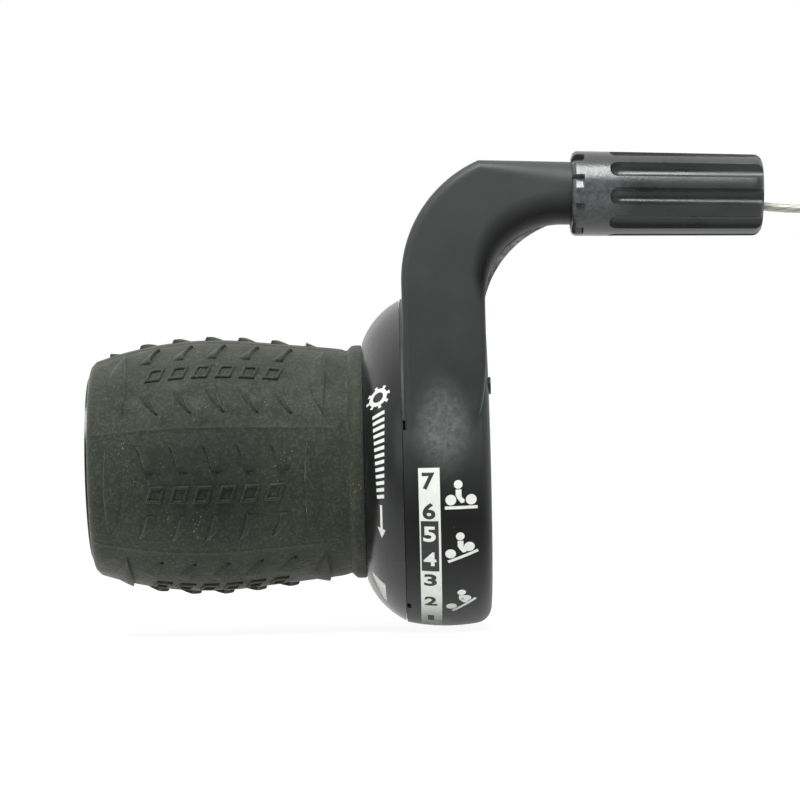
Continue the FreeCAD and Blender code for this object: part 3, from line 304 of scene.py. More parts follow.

# Painted shade on the moulding: the ring below its axis, and the long round inside the bend,
# which is wider the further the bend turns; and painted light that makes the upper parts paler
bend, given, out = new_group("painted_shade_and_light", {"Unit": "Float"}, ["Mask", "Top"])
place = put(bend, "ShaderNodeTexCoord").outputs["Object"]
place = put(bend, "ShaderNodeSeparateXYZ", Vector=place).outputs
# Long round inside the bend: painted shade
left = calc(bend, "SUBTRACT", BEND_X, calc(bend, "DIVIDE", place["X"], given["Unit"]))
left = calc(bend, "MAXIMUM", left, 0.0)
high = calc(bend, "DIVIDE", place["Z"], given["Unit"])
up = calc(bend, "SUBTRACT", high, BEND_Z)
squares = calc(bend, "ADD", calc(bend, "MULTIPLY", left, left), calc(bend, "MULTIPLY", up, up))
away = calc(bend, "SQRT", squares)
turned = calc(bend, "ARCTAN2", up, left)
wide = spread(bend, turned, 0.0, BEND_GROWN, *BEND_ROUNDS)
edge = calc(bend, "DIVIDE", calc(bend, "SUBTRACT", away, BEND_R), wide)
start = spread(bend, turned, *BEND_START)
inside = calc(bend, "MULTIPLY", spread(bend, edge, *BEND_FADE, 1.0, 0.0), start)
# Ring below its axis darker: painted shade
ring_shade = spread(bend, high, *RING_SHADE_SPAN, 0.0, RING_SHADE_SHARE)
front = calc(bend, "MULTIPLY", ring_shade, spread(bend, high, *RING_SHADE_FOOT))
bend.links.new(calc(bend, "MAXIMUM", inside, front), out["Mask"])
# Upper parts paler: painted light
bend.links.new(spread(bend, high, *LIT_TOP_SPAN), out["Top"])


def new_material(name, bump_of, deep, specular=0.5):
    """Material with a Principled BSDF and a Bump, its tree, the shader's inputs and the bump's height."""
    material = bpy.data.materials.new(name)
    material.use_nodes = True
    tree = material.node_tree
    tree.nodes.clear()
    shader = put(tree, "ShaderNodeBsdfPrincipled", Specular_IOR_Level=specular)
    bump = put(tree, "ShaderNodeBump", Strength=bump_of, Distance=deep)
    tree.links.new(bump.outputs["Normal"], shader.inputs["Normal"])
    tree.links.new(shader.outputs[0], put(tree, "ShaderNodeOutputMaterial").inputs["Surface"])
    return material, tree, shader.inputs, bump.inputs["Height"]


def moulded_plastic(
    name, dark, worn, rough, spark_scale, bump_of,
    patch_at=None, patch_colour=RUB_HIGHLIGHT, reach=RUB_HIGHLIGHT_REACH, specular=0.5, has_painted_shade_and_light=False,
):
    """Black plastic out of a mould, with cloudy gloss, dust and, if asked, a pale rub patch, which on the
    housing and cover is partly a painted highlight, and the housing's painted shade and painted light.
    """
    material, tree, shader, height = new_material(name, bump_of, SPARK_DEEP, specular)
    skin = place_group(tree, spark, Spark_Scale=spark_scale, Cloud_Scale=CLOUD_SCALE)
    specks = place_group(tree, dust, Scale=DUST_SCALE, Cover=DUST_COVER)["Mask"]
    colour = tint(tree, calc(tree, "MULTIPLY", skin["Cloud"], CLOUD_SHARE), dark, worn)
    gloss = spread(tree, skin["Cloud"], 0.0, 1.0, *rough)
    if patch_at:
        # Pale patch: rub wear, and on the ring and the cover's lip partly a painted highlight
        mark = place_group(tree, rub_and_light_patch, Place=patch_at, Reach=reach)["Mask"]
        colour = tint(tree, mark, colour, patch_colour)
        gloss = calc(tree, "SUBTRACT", gloss, calc(tree, "MULTIPLY", mark, RUB_GLOSS))
    # Painted light on the upper parts, painted shade inside the bend and on the ring below its axis
    if has_painted_shade_and_light:
        painted = place_group(tree, bend, Unit=MM)
        colour = tint(tree, calc(tree, "MULTIPLY", painted["Top"], LIT_TOP_SHARE), colour, worn)
        colour = tint(tree, painted["Mask"], colour, PAINTED_SHADE)
    colour = tint(tree, calc(tree, "MULTIPLY", specks, DUST_SHARE), colour, DUST_GREY)
    feed(tree, shader["Base Color"], colour)
    feed(tree, shader["Roughness"], gloss)
    feed(tree, height, skin["Height"])
    return material


satin_black = moulded_plastic(
    "satin_black", HOUSING_BLACK, HOUSING_WORN_AND_LIT, HOUSING_ROUGH, HOUSING_SPARK, HOUSING_BUMP,
    RUB_HIGHLIGHT_AT, specular=HOUSING_SPECULAR, has_painted_shade_and_light=True,
)


def finish_node(name, material):
    """Gives a CAD node its finish."""
    for slot in node[name].material_slots:
        slot.material = material


finish_node("housing", satin_black)

# Root of the arm: the same moulding, where the flat front of the arm runs out of the ring's crown.
# A thin skin on the solid, which fills the crease between the two with a long hollow round.
RING_EDGE_R = 23.0
RING_CROWN_R = 26.0
RING_MIDDLE = 6.0
ARM_FRONT = 22.91
ARM_LEFT = 0.3
ARM_RIGHT = 11.75
ARM_JOIN_Z = 15.0
ARM_JOIN_R = 37.13
ARM_EDGE_ROUND = 1.0
ROOT_X = (0.7, 10.9)
ROOT_Z = (-1.0, 11.0)
ROOT_STEP = 0.3
ROOT_SOFT = 0.75
ROOT_FADE = 1.4
ROOT_LEAST = 0.02
ROOT_SINK = 0.008
ROOT_BACK = 0.5


def ring_radius(x):
    """Radius of the ring's crown at a distance along the bar, in mm."""
    drop = math.sqrt(RING_CROWN_R**2 - RING_MIDDLE**2)
    return RING_EDGE_R + math.sqrt(RING_CROWN_R**2 - (x - RING_MIDDLE) ** 2) - drop


def arm_depth(x, z):
    """How far the arm's front stands before the bar's axis, with its rounded long edges."""
    right = ARM_RIGHT - ARM_JOIN_R + math.sqrt(ARM_JOIN_R**2 - (ARM_JOIN_Z - z) ** 2)
    inside = min(x - ARM_LEFT, right - x)
    if inside < 0:
        return 0.0
    short = max(ARM_EDGE_ROUND - inside, 0)
    return ARM_FRONT - ARM_EDGE_ROUND + math.sqrt(ARM_EDGE_ROUND**2 - short**2)


def root_depth(x, z):
    """Front of the ring and the arm, with the crease between them filled."""
    fade = min((x - ROOT_X[0]) / ROOT_FADE, (ROOT_X[1] - x) / ROOT_FADE, 1)
    soft = max(ROOT_SOFT * fade, ROOT_LEAST)
    of_ring = math.sqrt(ring_radius(x) ** 2 - z**2)
    of_arm = arm_depth(x, z)
    share = max(soft - abs(of_ring - of_arm), 0) / soft
    return max(of_ring, of_arm) + share**2 * soft / 4 - ROOT_SINK


root_form = bmesh.new()
root_columns = int((ROOT_X[1] - ROOT_X[0]) / ROOT_STEP)
root_rows = int((ROOT_Z[1] - ROOT_Z[0]) / ROOT_STEP)
root_verts = {}
for i in range(root_columns + 1):
    for j in range(root_rows + 1):
        x = ROOT_X[0] + (ROOT_X[1] - ROOT_X[0]) * i / root_columns
        z = ROOT_Z[0] + (ROOT_Z[1] - ROOT_Z[0]) * j / root_rows
        root_verts[i, j] = root_form.verts.new(Vector((x, -root_depth(x, z), z)) * MM)
for i in range(root_columns):
    for j in range(root_rows):
        corners = [(i, j), (i + 1, j), (i + 1, j + 1), (i, j + 1)]
        root_form.faces.new([root_verts[corner] for corner in corners])
root_back = bmesh.ops.extrude_face_region(root_form, geom=root_form.faces[:])["geom"]
for item in root_back:
    if isinstance(item, bmesh.types.BMVert):
        item.co.y += ROOT_BACK * MM
bmesh.ops.recalc_face_normals(root_form, faces=root_form.faces[:])


def joined(name, forms):
    """One mesh from several forms."""
    whole = bmesh.new()
    for form in forms:
        scratch = bpy.data.meshes.new("scratch")
        form.to_mesh(scratch)
        whole.from_mesh(scratch)
        bpy.data.meshes.remove(scratch)
        form.free()
    mesh = bpy.data.meshes.new(name)
    whole.to_mesh(mesh)
    whole.free()
    return mesh


def new_piece(name, mesh, material, body, sharp=40.0):
    """Piece from a mesh, smooth but for edges sharper than an angle."""
    mesh.materials.clear()
    mesh.materials.append(material)
    mesh.polygons.foreach_set("use_smooth", [True] * len(mesh.polygons))
    mesh.set_sharp_from_angle(angle=math.radians(sharp))
    piece = bpy.data.objects.new(name, mesh)
    bpy.context.scene.collection.objects.link(piece)
    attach(piece, body)
    return piece


new_piece("arm_root", joined("arm_root", [root_form]), satin_black, "housing")

# Land of the ring: a low step of the same moulding, on which the grip's flange runs close.
# It shuts the slit between the two all round.
LAND_X = (-0.09, 0.05)
LAND_R = (21.4, 22.6)
LAND_PARTS = 160


def even_angles(sides):
    """Angles of a round with a number of sides."""
    return [math.tau * i / sides for i in range(sides)]


def ring_mesh(name, rings, angles, place=Matrix.Identity(4)):
    """Closed skin over rings that run back along X outside and forward inside, in mm.

    Each ring is a place along X and a radius, or a rule for the radius by angle.
    """
    points = []
    for x, radius in rings:
        for angle in angles:
            reach = radius(angle) if callable(radius) else radius
            points.append(place @ (Vector((x, reach * math.cos(angle), reach * math.sin(angle))) * MM))
    count = len(angles)
    faces = []
    for ring in range(len(rings)):
        start = ring * count
        after = (ring + 1) % len(rings) * count
        for i in range(count):
            j = (i + 1) % count
            faces.append((start + i, after + i, after + j, start + j))
    mesh = bpy.data.meshes.new(name)
    mesh.from_pydata(points, [], faces)
    return mesh


land_rings = [(LAND_X[1], LAND_R[0]), (LAND_X[1], LAND_R[1])]
land_rings += [(LAND_X[0], LAND_R[1]), (LAND_X[0], LAND_R[0])]
land_mesh = ring_mesh("ring_land", land_rings, even_angles(LAND_PARTS))
new_piece("ring_land", land_mesh, satin_black, "housing")

# Print on the ring: a white gear strip with the numbers one to seven, and three hill signs.
# Thin ink, laid on the crown of the ring, where the pointer on the grip moves past it.
INK_LOW = -0.02
INK_STEP = 0.35
STRIP_X = (1.95, 4.87)
STRIP_BELOW = (1.8, 79.0)
FIELD_X = (2.13, 4.55)
FIELD_BELOW = (20.0, 39.8)
NUMERAL_TALL = 2.35
NUMERAL_WIDE = 1.75
NUMERAL_BOLD = 0.1
NUMERAL_LEAST = 0.62
NUMERAL_LEFT = 0.12
NUMERAL_WELD = 0.001
FONT_TALL = 0.7
NUMERALS = [("7", 6.2), ("6", 16.5), ("5", 24.8), ("4", 34.6), ("3", 44.1), ("2", 55.8), ("1", 69.5)]
ON_FIELD = "54"
STRIP_HIGH = 0.02
FIELD_HIGH = 0.035
DARK_HIGH = 0.04
LIGHT_HIGH = 0.055
INK_WHITE = (0.8, 0.82, 0.79, 1)
INK_WHITE_WORN = (0.56, 0.58, 0.54, 1)
INK_BLACK = (0.025, 0.027, 0.026, 1)
INK_BLACK_WORN = (0.07, 0.075, 0.07, 1)
INK_ROUGH = (0.45, 0.65)
INK_BUMP = 0.25
INK_DEEP = 0.01 * MM
INK_SPARK = 2600.0
INK_CLOUD = 700.0
INK_FADED = 0.3
PINHOLE_SCALE = 1900.0
PINHOLE_COVER = 0.16
PINHOLE_SHARE = 0.45


def printed_ink(name, colour, worn):
    """Screen-printed ink, thin enough to show pinholes and rubbed places."""
    material, tree, shader, height = new_material(name, INK_BUMP, INK_DEEP)
    skin = place_group(tree, spark, Spark_Scale=INK_SPARK, Cloud_Scale=INK_CLOUD)
    holes = place_group(tree, dust, Scale=PINHOLE_SCALE, Cover=PINHOLE_COVER)["Mask"]
    shade = tint(tree, calc(tree, "MULTIPLY", skin["Cloud"], INK_FADED), colour, worn)
    shade = tint(tree, calc(tree, "MULTIPLY", holes, PINHOLE_SHARE), shade, worn)
    feed(tree, shader["Base Color"], shade)
    feed(tree, shader["Roughness"], spread(tree, skin["Cloud"], 0.0, 1.0, *INK_ROUGH))
    feed(tree, height, skin["Height"])
    return material


white_ink = printed_ink("white_ink", INK_WHITE, INK_WHITE_WORN)
black_ink = printed_ink("black_ink", INK_BLACK, INK_BLACK_WORN)


def disc(x, y, radius, sides=28):
    """Closed round outline."""
    return [(x + radius * math.cos(turn), y + radius * math.sin(turn)) for turn in even_angles(sides)]


def block(x0, y0, x1, y1):
    """Closed square-cornered outline."""
    return [(x0, y0), (x1, y0), (x1, y1), (x0, y1)]


def lay_ink(flat, ink_high, radius_of, at_x, below):
    """Cuts flat artwork into strips, gives it thickness and lays it round a turned surface, in mm."""
    spans = [[min(v.co[i] for v in flat.verts), max(v.co[i] for v in flat.verts)] for i in (0, 1)]
    for axis, (low, high) in enumerate(spans):
        normal = Vector((1, 0, 0)) if axis == 0 else Vector((0, 1, 0))
        for i in range(1, int((high - low) / INK_STEP) + 1):
            everything = flat.verts[:] + flat.edges[:] + flat.faces[:]
            place = normal * (low + i * INK_STEP)
            bmesh.ops.bisect_plane(flat, geom=everything, plane_co=place, plane_no=normal)
    raised = bmesh.ops.extrude_face_region(flat, geom=flat.faces[:])["geom"]
    tops = [item for item in raised if isinstance(item, bmesh.types.BMVert)]
    for vert in flat.verts:
        vert.co.z = INK_LOW
    for vert in tops:
        vert.co.z = ink_high
    bmesh.ops.recalc_face_normals(flat, faces=flat.faces[:])
    around = radius_of(at_x)
    for vert in flat.verts:
        x = at_x + vert.co.x
        angle = math.radians(below) - vert.co.y / around
        radius = radius_of(x) + vert.co.z
        vert.co = Vector((x, -radius * math.cos(angle), -radius * math.sin(angle))) * MM
    return flat


def artwork(outlines):
    """Flat faces from closed outlines."""
    flat = bmesh.new()
    for line in outlines:
        flat.faces.new([flat.verts.new((x, y, 0)) for x, y in line])
    return flat


def numeral(figure):
    """Bold figure as flat faces, its middle at the origin."""
    words = bpy.data.curves.new("figure", "FONT")
    words.body = figure
    words.size = NUMERAL_TALL / FONT_TALL
    words.offset = NUMERAL_BOLD
    holder = bpy.data.objects.new("figure", words)
    made = bpy.data.meshes.new_from_object(holder)
    bpy.data.objects.remove(holder)
    flat = bmesh.new()
    flat.from_mesh(made)
    bpy.data.meshes.remove(made)
    bmesh.ops.remove_doubles(flat, verts=flat.verts[:], dist=NUMERAL_WELD)
    xs = [v.co.x for v in flat.verts]
    ys = [v.co.y for v in flat.verts]
    wide = max(max(xs) - min(xs), NUMERAL_WIDE * NUMERAL_LEAST)
    for vert in flat.verts:
        vert.co.x = (vert.co.x - (min(xs) + max(xs)) / 2) * NUMERAL_WIDE / wide
        vert.co.y = (vert.co.y - (min(ys) + max(ys)) / 2) * NUMERAL_TALL / (max(ys) - min(ys))
    return flat


def ink_piece(name, parts, material, body):
    """One piece of print from parts already laid on their surface."""
    mesh = joined(name, parts)
    mesh.materials.append(material)
    piece = bpy.data.objects.new(name, mesh)
    bpy.context.scene.collection.objects.link(piece)
    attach(piece, body)


def on_ring(flat, high, x, below):
    """Artwork laid on the ring's crown."""
    return lay_ink(flat, high, ring_radius, x, below)


def strip_block(x_span, below_span, high):
    """White or black field of the strip, between two angles below the bar's axis."""
    middle_x = sum(x_span) / 2
    middle_below = sum(below_span) / 2
    half_x = (x_span[1] - x_span[0]) / 2
    half_tall = math.radians(below_span[1] - below_span[0]) / 2 * ring_radius(middle_x)
    return on_ring(artwork([block(-half_x, -half_tall, half_x, half_tall)]), high, middle_x, middle_below)


numeral_x = sum(STRIP_X) / 2 - NUMERAL_LEFT
dark_on_white = []
white_on_dark = []
for figure, below in NUMERALS:
    if figure in ON_FIELD:
        white_on_dark.append(on_ring(numeral(figure), LIGHT_HIGH, numeral_x, below))
    else:
        dark_on_white.append(on_ring(numeral(figure), DARK_HIGH, numeral_x, below))
dark_on_white.append(strip_block(FIELD_X, FIELD_BELOW, FIELD_HIGH))

# Hill signs: a road, two wheels and a rider who stays upright as the road gets steeper
SIGNS = [(7.72, 15.4, 0), (7.85, 33.6, 22), (7.94, 58.5, 44)]
SIGN_HIGH = 0.03
ROAD = block(-2.25, -0.22, 2.25, 0.22)
WHEELS = [disc(-1.4, 1.1, 0.74), disc(1.4, 1.1, 0.74)]
RIDER_HEAD = disc(-0.34, 3.25, 0.6)
RIDER_BODY = [(-0.72, 2.55), (-0.72, 1.7), (-0.45, 1.2), (0.0, 0.62)]
RIDER_BODY += [(0.45, 0.72), (0.5, 1.1), (0.1, 1.5), (0.08, 2.55)]


def hill_sign(x, below, slope):
    """Sign on the ring, its road and wheels turned to a slope."""
    turn = Matrix.Rotation(math.radians(slope), 2)
    lean = [[tuple(turn @ Vector(point)) for point in line] for line in [ROAD, *WHEELS]]
    return on_ring(artwork([*lean, RIDER_HEAD, RIDER_BODY]), SIGN_HIGH, x, below)


signs = [hill_sign(*sign) for sign in SIGNS]
strip = strip_block(STRIP_X, STRIP_BELOW, STRIP_HIGH)
ink_piece("gear_strip", [strip], white_ink, "housing")
ink_piece("gear_numbers_dark", dark_on_white, black_ink, "housing")
ink_piece("gear_numbers_light", white_on_dark, white_ink, "housing")
ink_piece("hill_signs", signs, white_ink, "housing")

# Elbow cover: rear half of the bend, moulded in the same plastic, held by one small screw.
# A socket grub screw under the ring clamps the housing on the bar. Both screws are zinc plated.
ZINC = (0.42, 0.42, 0.4, 1)
ZINC_DULL = (0.2, 0.2, 0.19, 1)
ZINC_ROUGH = 0.28
ZINC_LINES = 6000.0
METAL_BUMP = 0.3
METAL_DEEP = 0.01 * MM
METAL_SPARK = 2500.0
METAL_CLOUD = 300.0
METAL_DULLED = 0.6
METAL_SPREAD = 0.2
BRUSH_STRETCH = (1.0, 0.12, 0.12)
# Paler patch on the cover's lip in the bend: rubbed wear and a painted highlight
COVER_LIP_PATCH_AT = Vector((14.9, -18, 28.6)) * MM
COVER_LIP_PATCH_REACH = Vector((10.5, 10.5, 10.5)) * MM
COVER_LIP_RUB_AND_HIGHLIGHT = (0.4, 0.42, 0.41, 1)


def worked_metal(name, bright, dull, rough, line_scale):
    """Metal with fine lines across its X axis and dull patches."""
    material, tree, shader, height = new_material(name, METAL_BUMP, METAL_DEEP)
    place = put(tree, "ShaderNodeTexCoord").outputs["Object"]
    lines = put(tree, "ShaderNodeMapping", Vector=place, Scale=BRUSH_STRETCH).outputs["Vector"]
    brush = put(tree, "ShaderNodeTexNoise", Vector=lines, Scale=line_scale, Detail=4.0).outputs["Fac"]
    skin = place_group(tree, spark, Spark_Scale=METAL_SPARK, Cloud_Scale=METAL_CLOUD)
    dulled = calc(tree, "MULTIPLY", skin["Cloud"], METAL_DULLED)
    feed(tree, shader["Base Color"], tint(tree, dulled, bright, dull))
    feed(tree, shader["Roughness"], spread(tree, skin["Cloud"], 0.0, 1.0, rough, rough + METAL_SPREAD))
    feed(tree, shader["Metallic"], 1.0)
    feed(tree, height, brush)
    return material


zinc_plate = worked_metal("zinc_plate", ZINC, ZINC_DULL, ZINC_ROUGH, ZINC_LINES)
# Cover's lip inside the bend is paler: rubbed wear and a painted highlight
rubbed_and_lit_black = moulded_plastic(
    "rubbed_and_lit_black", HOUSING_BLACK, HOUSING_WORN_AND_LIT, HOUSING_ROUGH, HOUSING_SPARK, HOUSING_BUMP,
    COVER_LIP_PATCH_AT, COVER_LIP_RUB_AND_HIGHLIGHT, COVER_LIP_PATCH_REACH,
)
finish_node("elbow_cover", rubbed_and_lit_black)
finish_node("cover_screw", zinc_plate)
finish_node("clamp_screw", zinc_plate)

# Grip core: glossy black barrel with a domed flange that turns against the ring.
# White print on the flange: a pointer to the gear numbers, and a cog over a row of strokes and an arrow.
# A steel leaf spring in the core clicks against the housing.
CORE_BLACK = (0.006, 0.007, 0.0068, 1)
CORE_WORN = (0.02, 0.022, 0.021, 1)
CORE_ROUGH = (0.2, 0.32)
CORE_SPARK = 2600.0
CORE_BUMP = 0.15
CORE_SPECULAR = 0.8
SPRING_BRIGHT = (0.5, 0.5, 0.5, 1)
SPRING_DULL = (0.3, 0.3, 0.3, 1)
SPRING_ROUGH = 0.25
SPRING_LINES = 5000.0
DOME_X = 4.787
DOME_Z = 13.005
DOME_R = 11.0

gloss_black = moulded_plastic(
    "gloss_black", CORE_BLACK, CORE_WORN, CORE_ROUGH, CORE_SPARK, CORE_BUMP, specular=CORE_SPECULAR
)
finish_node("grip_core", gloss_black)


def flange_radius(x):
    """Radius of the flange's dome at a distance along the bar, in mm."""
    return DOME_Z + math.sqrt(max(DOME_R**2 - (x - DOME_X) ** 2, 0))


def on_flange(flat, x, below):
    """Artwork laid on the flange's dome."""
    return lay_ink(flat, FLANGE_INK, flange_radius, x, below)


FLANGE_INK = 0.03
POINTER = [[(0.55, -2.6), (0.95, -2.6), (0.75, 2.3), (-0.95, 2.3), (-0.95, 1.4)]]
POINTER_AT = (-3.75, 62.0)
SCALE_AT = (-3.3, -3.0)
COG_AT = 8.3
COG_HOLE = 0.72
COG_R = 1.26
COG_TOOTH_R = 1.66
COG_PARTS = 24
COG_TOOTH_PARTS = 3
STROKES = 13
STROKE_PITCH = 0.95
STROKE_FIRST = 5.7
STROKE_HALF = 0.25
STROKE_SLANT = 0.16
STROKE_WIDE = 0.85
STROKE_TAPER = 0.03
ARROW = [(-0.12, -10.4), (-0.5, -10.4), (0.03, -11.9), (0.56, -10.4)]
ARROW += [(0.18, -10.4), (0.18, -6.9), (-0.12, -6.9)]

scale_marks = [ARROW]
for i in range(COG_PARTS):
    outer = COG_TOOTH_R if i % COG_TOOTH_PARTS == 0 else COG_R
    first, second = math.tau * i / COG_PARTS, math.tau * (i + 1) / COG_PARTS
    corners = [(COG_HOLE, first), (outer, first), (outer, second), (COG_HOLE, second)]
    scale_marks.append([(r * math.cos(a), COG_AT + r * math.sin(a)) for r, a in corners])
for i in range(STROKES):
    y = STROKE_FIRST - STROKE_PITCH * i
    half = STROKE_WIDE - STROKE_TAPER * i
    low = [(-half, y - STROKE_HALF - STROKE_SLANT), (half, y - STROKE_HALF + STROKE_SLANT)]
    top = [(half, y + STROKE_HALF + STROKE_SLANT), (-half, y + STROKE_HALF - STROKE_SLANT)]
    scale_marks.append(low + top)
twist_marks = [on_flange(artwork(POINTER), *POINTER_AT), on_flange(artwork(scale_marks), *SCALE_AT)]
ink_piece("twist_marks", twist_marks, white_ink, "grip")

spring_steel = worked_metal("spring_steel", SPRING_BRIGHT, SPRING_DULL, SPRING_ROUGH, SPRING_LINES)
finish_node("detent_spring", spring_steel)

# Rubber sleeve: soft matte black rubber moulded over the core's ribs, in the shape of a small barrel.
# Fins stand up from it on both sides of a plain band in each of six panels, with mould lines between them.
RUBBER_BLACK = (0.019, 0.0228, 0.0148, 1)
RUBBER_PALE = (0.056, 0.062, 0.044, 1)
RUBBER_DUST = (0.24, 0.25, 0.21, 1)
# Darker middle of the sleeve's front: painted shade
RUBBER_FRONT_SHADE = (0.005, 0.007, 0.005, 1)
# Near black at the feet of the fins: painted shadow
RUBBER_FOOT_SHADE = (0.001, 0.0014, 0.001, 1)
RUBBER_ROUGH = (0.6, 0.82)
RUBBER_BUMP = 0.85
RUBBER_DEEP = 0.07 * MM
RUBBER_SPECULAR = 0.35
RUBBER_SHEEN = 0.3
RUBBER_SHEEN_ROUGH = 0.4
RUBBER_SPARK = 2300.0
RUBBER_CLOUD = 140.0
COARSE_SPARK = 760.0
COARSE_CLOUD = 420.0
PALE_SHARE = 0.3
PALE_SPAN = (0.48, 0.64)
PALE_PEAKS = 0.55
SPECK_SCALE = 1800.0
SPECK_COVER = 0.2
SPECK_SHARE = 0.45
FRONT_SHADE_SHARE = 0.9
FOOT_SHADE_WIDE = 0.45
FRONT_SHADE_AT = Vector((-27, -18, -1)) * MM
FRONT_SHADE_REACH = Vector((15, 15, 15)) * MM
BELLY_X = -27.27
BELLY_Z = -32.13
BELLY_R = 50.0
CONE_START = -22.5
CONE_R = 17.64
CONE_FALL = 0.10548
PANELS = 6
PANEL_AT = 132.0
PANEL_X = -26.2
SLEEVE_SIDES = 216
SEAM_RISE = 0.07
SEAM_HALF = 0.22
SEAM_CLEAR = 0.012
SLEEVE_END = [(-44.1, 13.1), (-44.1, 14.2), (-43.98, 14.55), (-43.7, 14.85)]
SLEEVE_SIDE = [-43.3, -42.5] + [-41.5 + i for i in range(32)]
SLEEVE_GROOVE = [(-9.2, 16.22), (-8.4, 16.08), (-7.95, 15.9), (-7.6, 15.9), (-7.3, 16.25), (-6.95, 16.54)]
SLEEVE_BEAD = [(-6.6, 16.6), (-5.85, 16.6), (-5.62, 16.52), (-5.55, 16.3)]
SLEEVE_BORE = [(-5.55, 14.3), (-38.1, 14.3)]

soft_rubber, tree, shader, height = new_material("soft_rubber", RUBBER_BUMP, RUBBER_DEEP, RUBBER_SPECULAR)
skin = place_group(tree, spark, Spark_Scale=RUBBER_SPARK, Cloud_Scale=RUBBER_CLOUD)
coarse = place_group(tree, spark, Spark_Scale=COARSE_SPARK, Cloud_Scale=COARSE_CLOUD)
specks = place_group(tree, dust, Scale=SPECK_SCALE, Cover=SPECK_COVER)["Mask"]
# Middle of the sleeve's front made darker: painted shade
front_shade = place_group(tree, rub_and_light_patch, Place=FRONT_SHADE_AT, Reach=FRONT_SHADE_REACH)["Mask"]
# Feet of the fins darker: painted shadow where they meet the sleeve
fin_foot_shade = put(tree, "ShaderNodeAttribute", {"attribute_name": "fin_foot_shade"}).outputs["Fac"]
worn = tint(tree, calc(tree, "MULTIPLY", skin["Cloud"], PALE_SHARE), RUBBER_BLACK, RUBBER_PALE)
worn = tint(tree, spread(tree, skin["Height"], *PALE_SPAN, 0.0, PALE_PEAKS), worn, RUBBER_PALE)
worn = tint(tree, calc(tree, "MULTIPLY", front_shade, FRONT_SHADE_SHARE), worn, RUBBER_FRONT_SHADE)
worn = tint(tree, spread(tree, fin_foot_shade, 0.0, FOOT_SHADE_WIDE), worn, RUBBER_FOOT_SHADE)
worn = tint(tree, calc(tree, "MULTIPLY", specks, SPECK_SHARE), worn, RUBBER_DUST)
feed(tree, shader["Base Color"], worn)
feed(tree, shader["Roughness"], spread(tree, coarse["Cloud"], 0.0, 1.0, *RUBBER_ROUGH))
feed(tree, shader["Sheen Weight"], RUBBER_SHEEN)
feed(tree, shader["Sheen Roughness"], RUBBER_SHEEN_ROUGH)
feed(tree, height, calc(tree, "ADD", skin["Height"], coarse["Height"]))


def sleeve_radius(x):
    """Radius of the sleeve's plain surface at a distance along the bar, in mm."""
    if x < CONE_START:
        return BELLY_Z + math.sqrt(BELLY_R**2 - (x - BELLY_X) ** 2)
    return CONE_R - CONE_FALL * (x - CONE_START)


def panel_seam(x):
    """Sleeve radius with a low mould line at the edge of each panel."""
    plain = sleeve_radius(x)

    def rule(angle):
        step = math.tau / PANELS
        from_edge = (angle - math.radians(PANEL_AT)) % step - step / 2
        share = max(1 - abs(from_edge) * plain / SEAM_HALF, 0)
        return plain + SEAM_RISE * share

    return rule


def seam_angles():
    """Even angles, with extra ones close to the panel edges."""
    edge = math.radians(PANEL_AT) + math.pi / PANELS
    close = [-SEAM_HALF, -SEAM_HALF / 2, 0, SEAM_HALF / 2, SEAM_HALF]
    extra = [edge + i * math.tau / PANELS + d / CONE_R for i in range(PANELS) for d in close]
    far = []
    for a in even_angles(SLEEVE_SIDES):
        if all(abs((a - e + math.pi) % math.tau - math.pi) > SEAM_CLEAR for e in extra):
            far.append(a)
    return sorted(a % math.tau for a in far + extra)


sleeve_rings = SLEEVE_END + [(x, panel_seam(x)) for x in SLEEVE_SIDE]
sleeve_rings += SLEEVE_GROOVE + SLEEVE_BEAD + SLEEVE_BORE
sleeve_mesh = ring_mesh("grip_sleeve", sleeve_rings[::-1], seam_angles())
sleeve = new_piece("grip_sleeve", sleeve_mesh, soft_rubber, "grip")

# Tread panel, drawn flat: fins in two rows, a crescent at each end and a row of plain lozenges on the band
FIN_COUNT = 5
FIN_PITCH = 4.67
FIN_RISE = 0.5
FIN_FOOT = -0.25
FIN_DRAFT = 0.35
BAND_HALF = 3.2
FIN_LEAN = 2.3
FIN_BASE = 1.45
FIN_TIP = 0.4
FIN_LONG = 3.7
FIN_BOW = 0.35
HEEL_BOW = 0.26
CRESCENT_HALF = 7.0
CRESCENT_OUT = 2.05
CRESCENT_IN = 0.35
CRESCENT_ROWS = 15
CRESCENT_END = 0.985
LOZENGES = 6
LOZENGE_PITCH = 3.3
LOZENGE_RISE = 0.32
LOZENGE_SHOULDER = LOZENGE_RISE * 0.7
LOZENGE_OUTER = [(-1.5, -1.25), (0.7, -1.25), (1.5, 1.25), (-0.7, 1.25)]
LOZENGE_INNER = [(-0.9, -0.75), (0.42, -0.75), (0.9, 0.75), (-0.42, 0.75)]
LOZENGE_BEAD = [(0.0, FIN_FOOT), (0.08, LOZENGE_SHOULDER), (0.3, LOZENGE_RISE)]
LOZENGE_BEAD += [(0.7, LOZENGE_RISE), (0.92, LOZENGE_SHOULDER), (1.0, FIN_FOOT)]
ROWS = [0.0, 0.05, 0.2, 0.4, 0.6, 0.8, 0.93, 0.985]
COLUMNS = [0.0, 0.25, 0.55, 0.9, 1.0]
RAMP = [0.12, 0.42, 0.72, 1.0, 0.8]
END_SHARE = 0.8
LONGEST_EDGE = 1.2
FOOT_SHADE_HIGH = 0.01


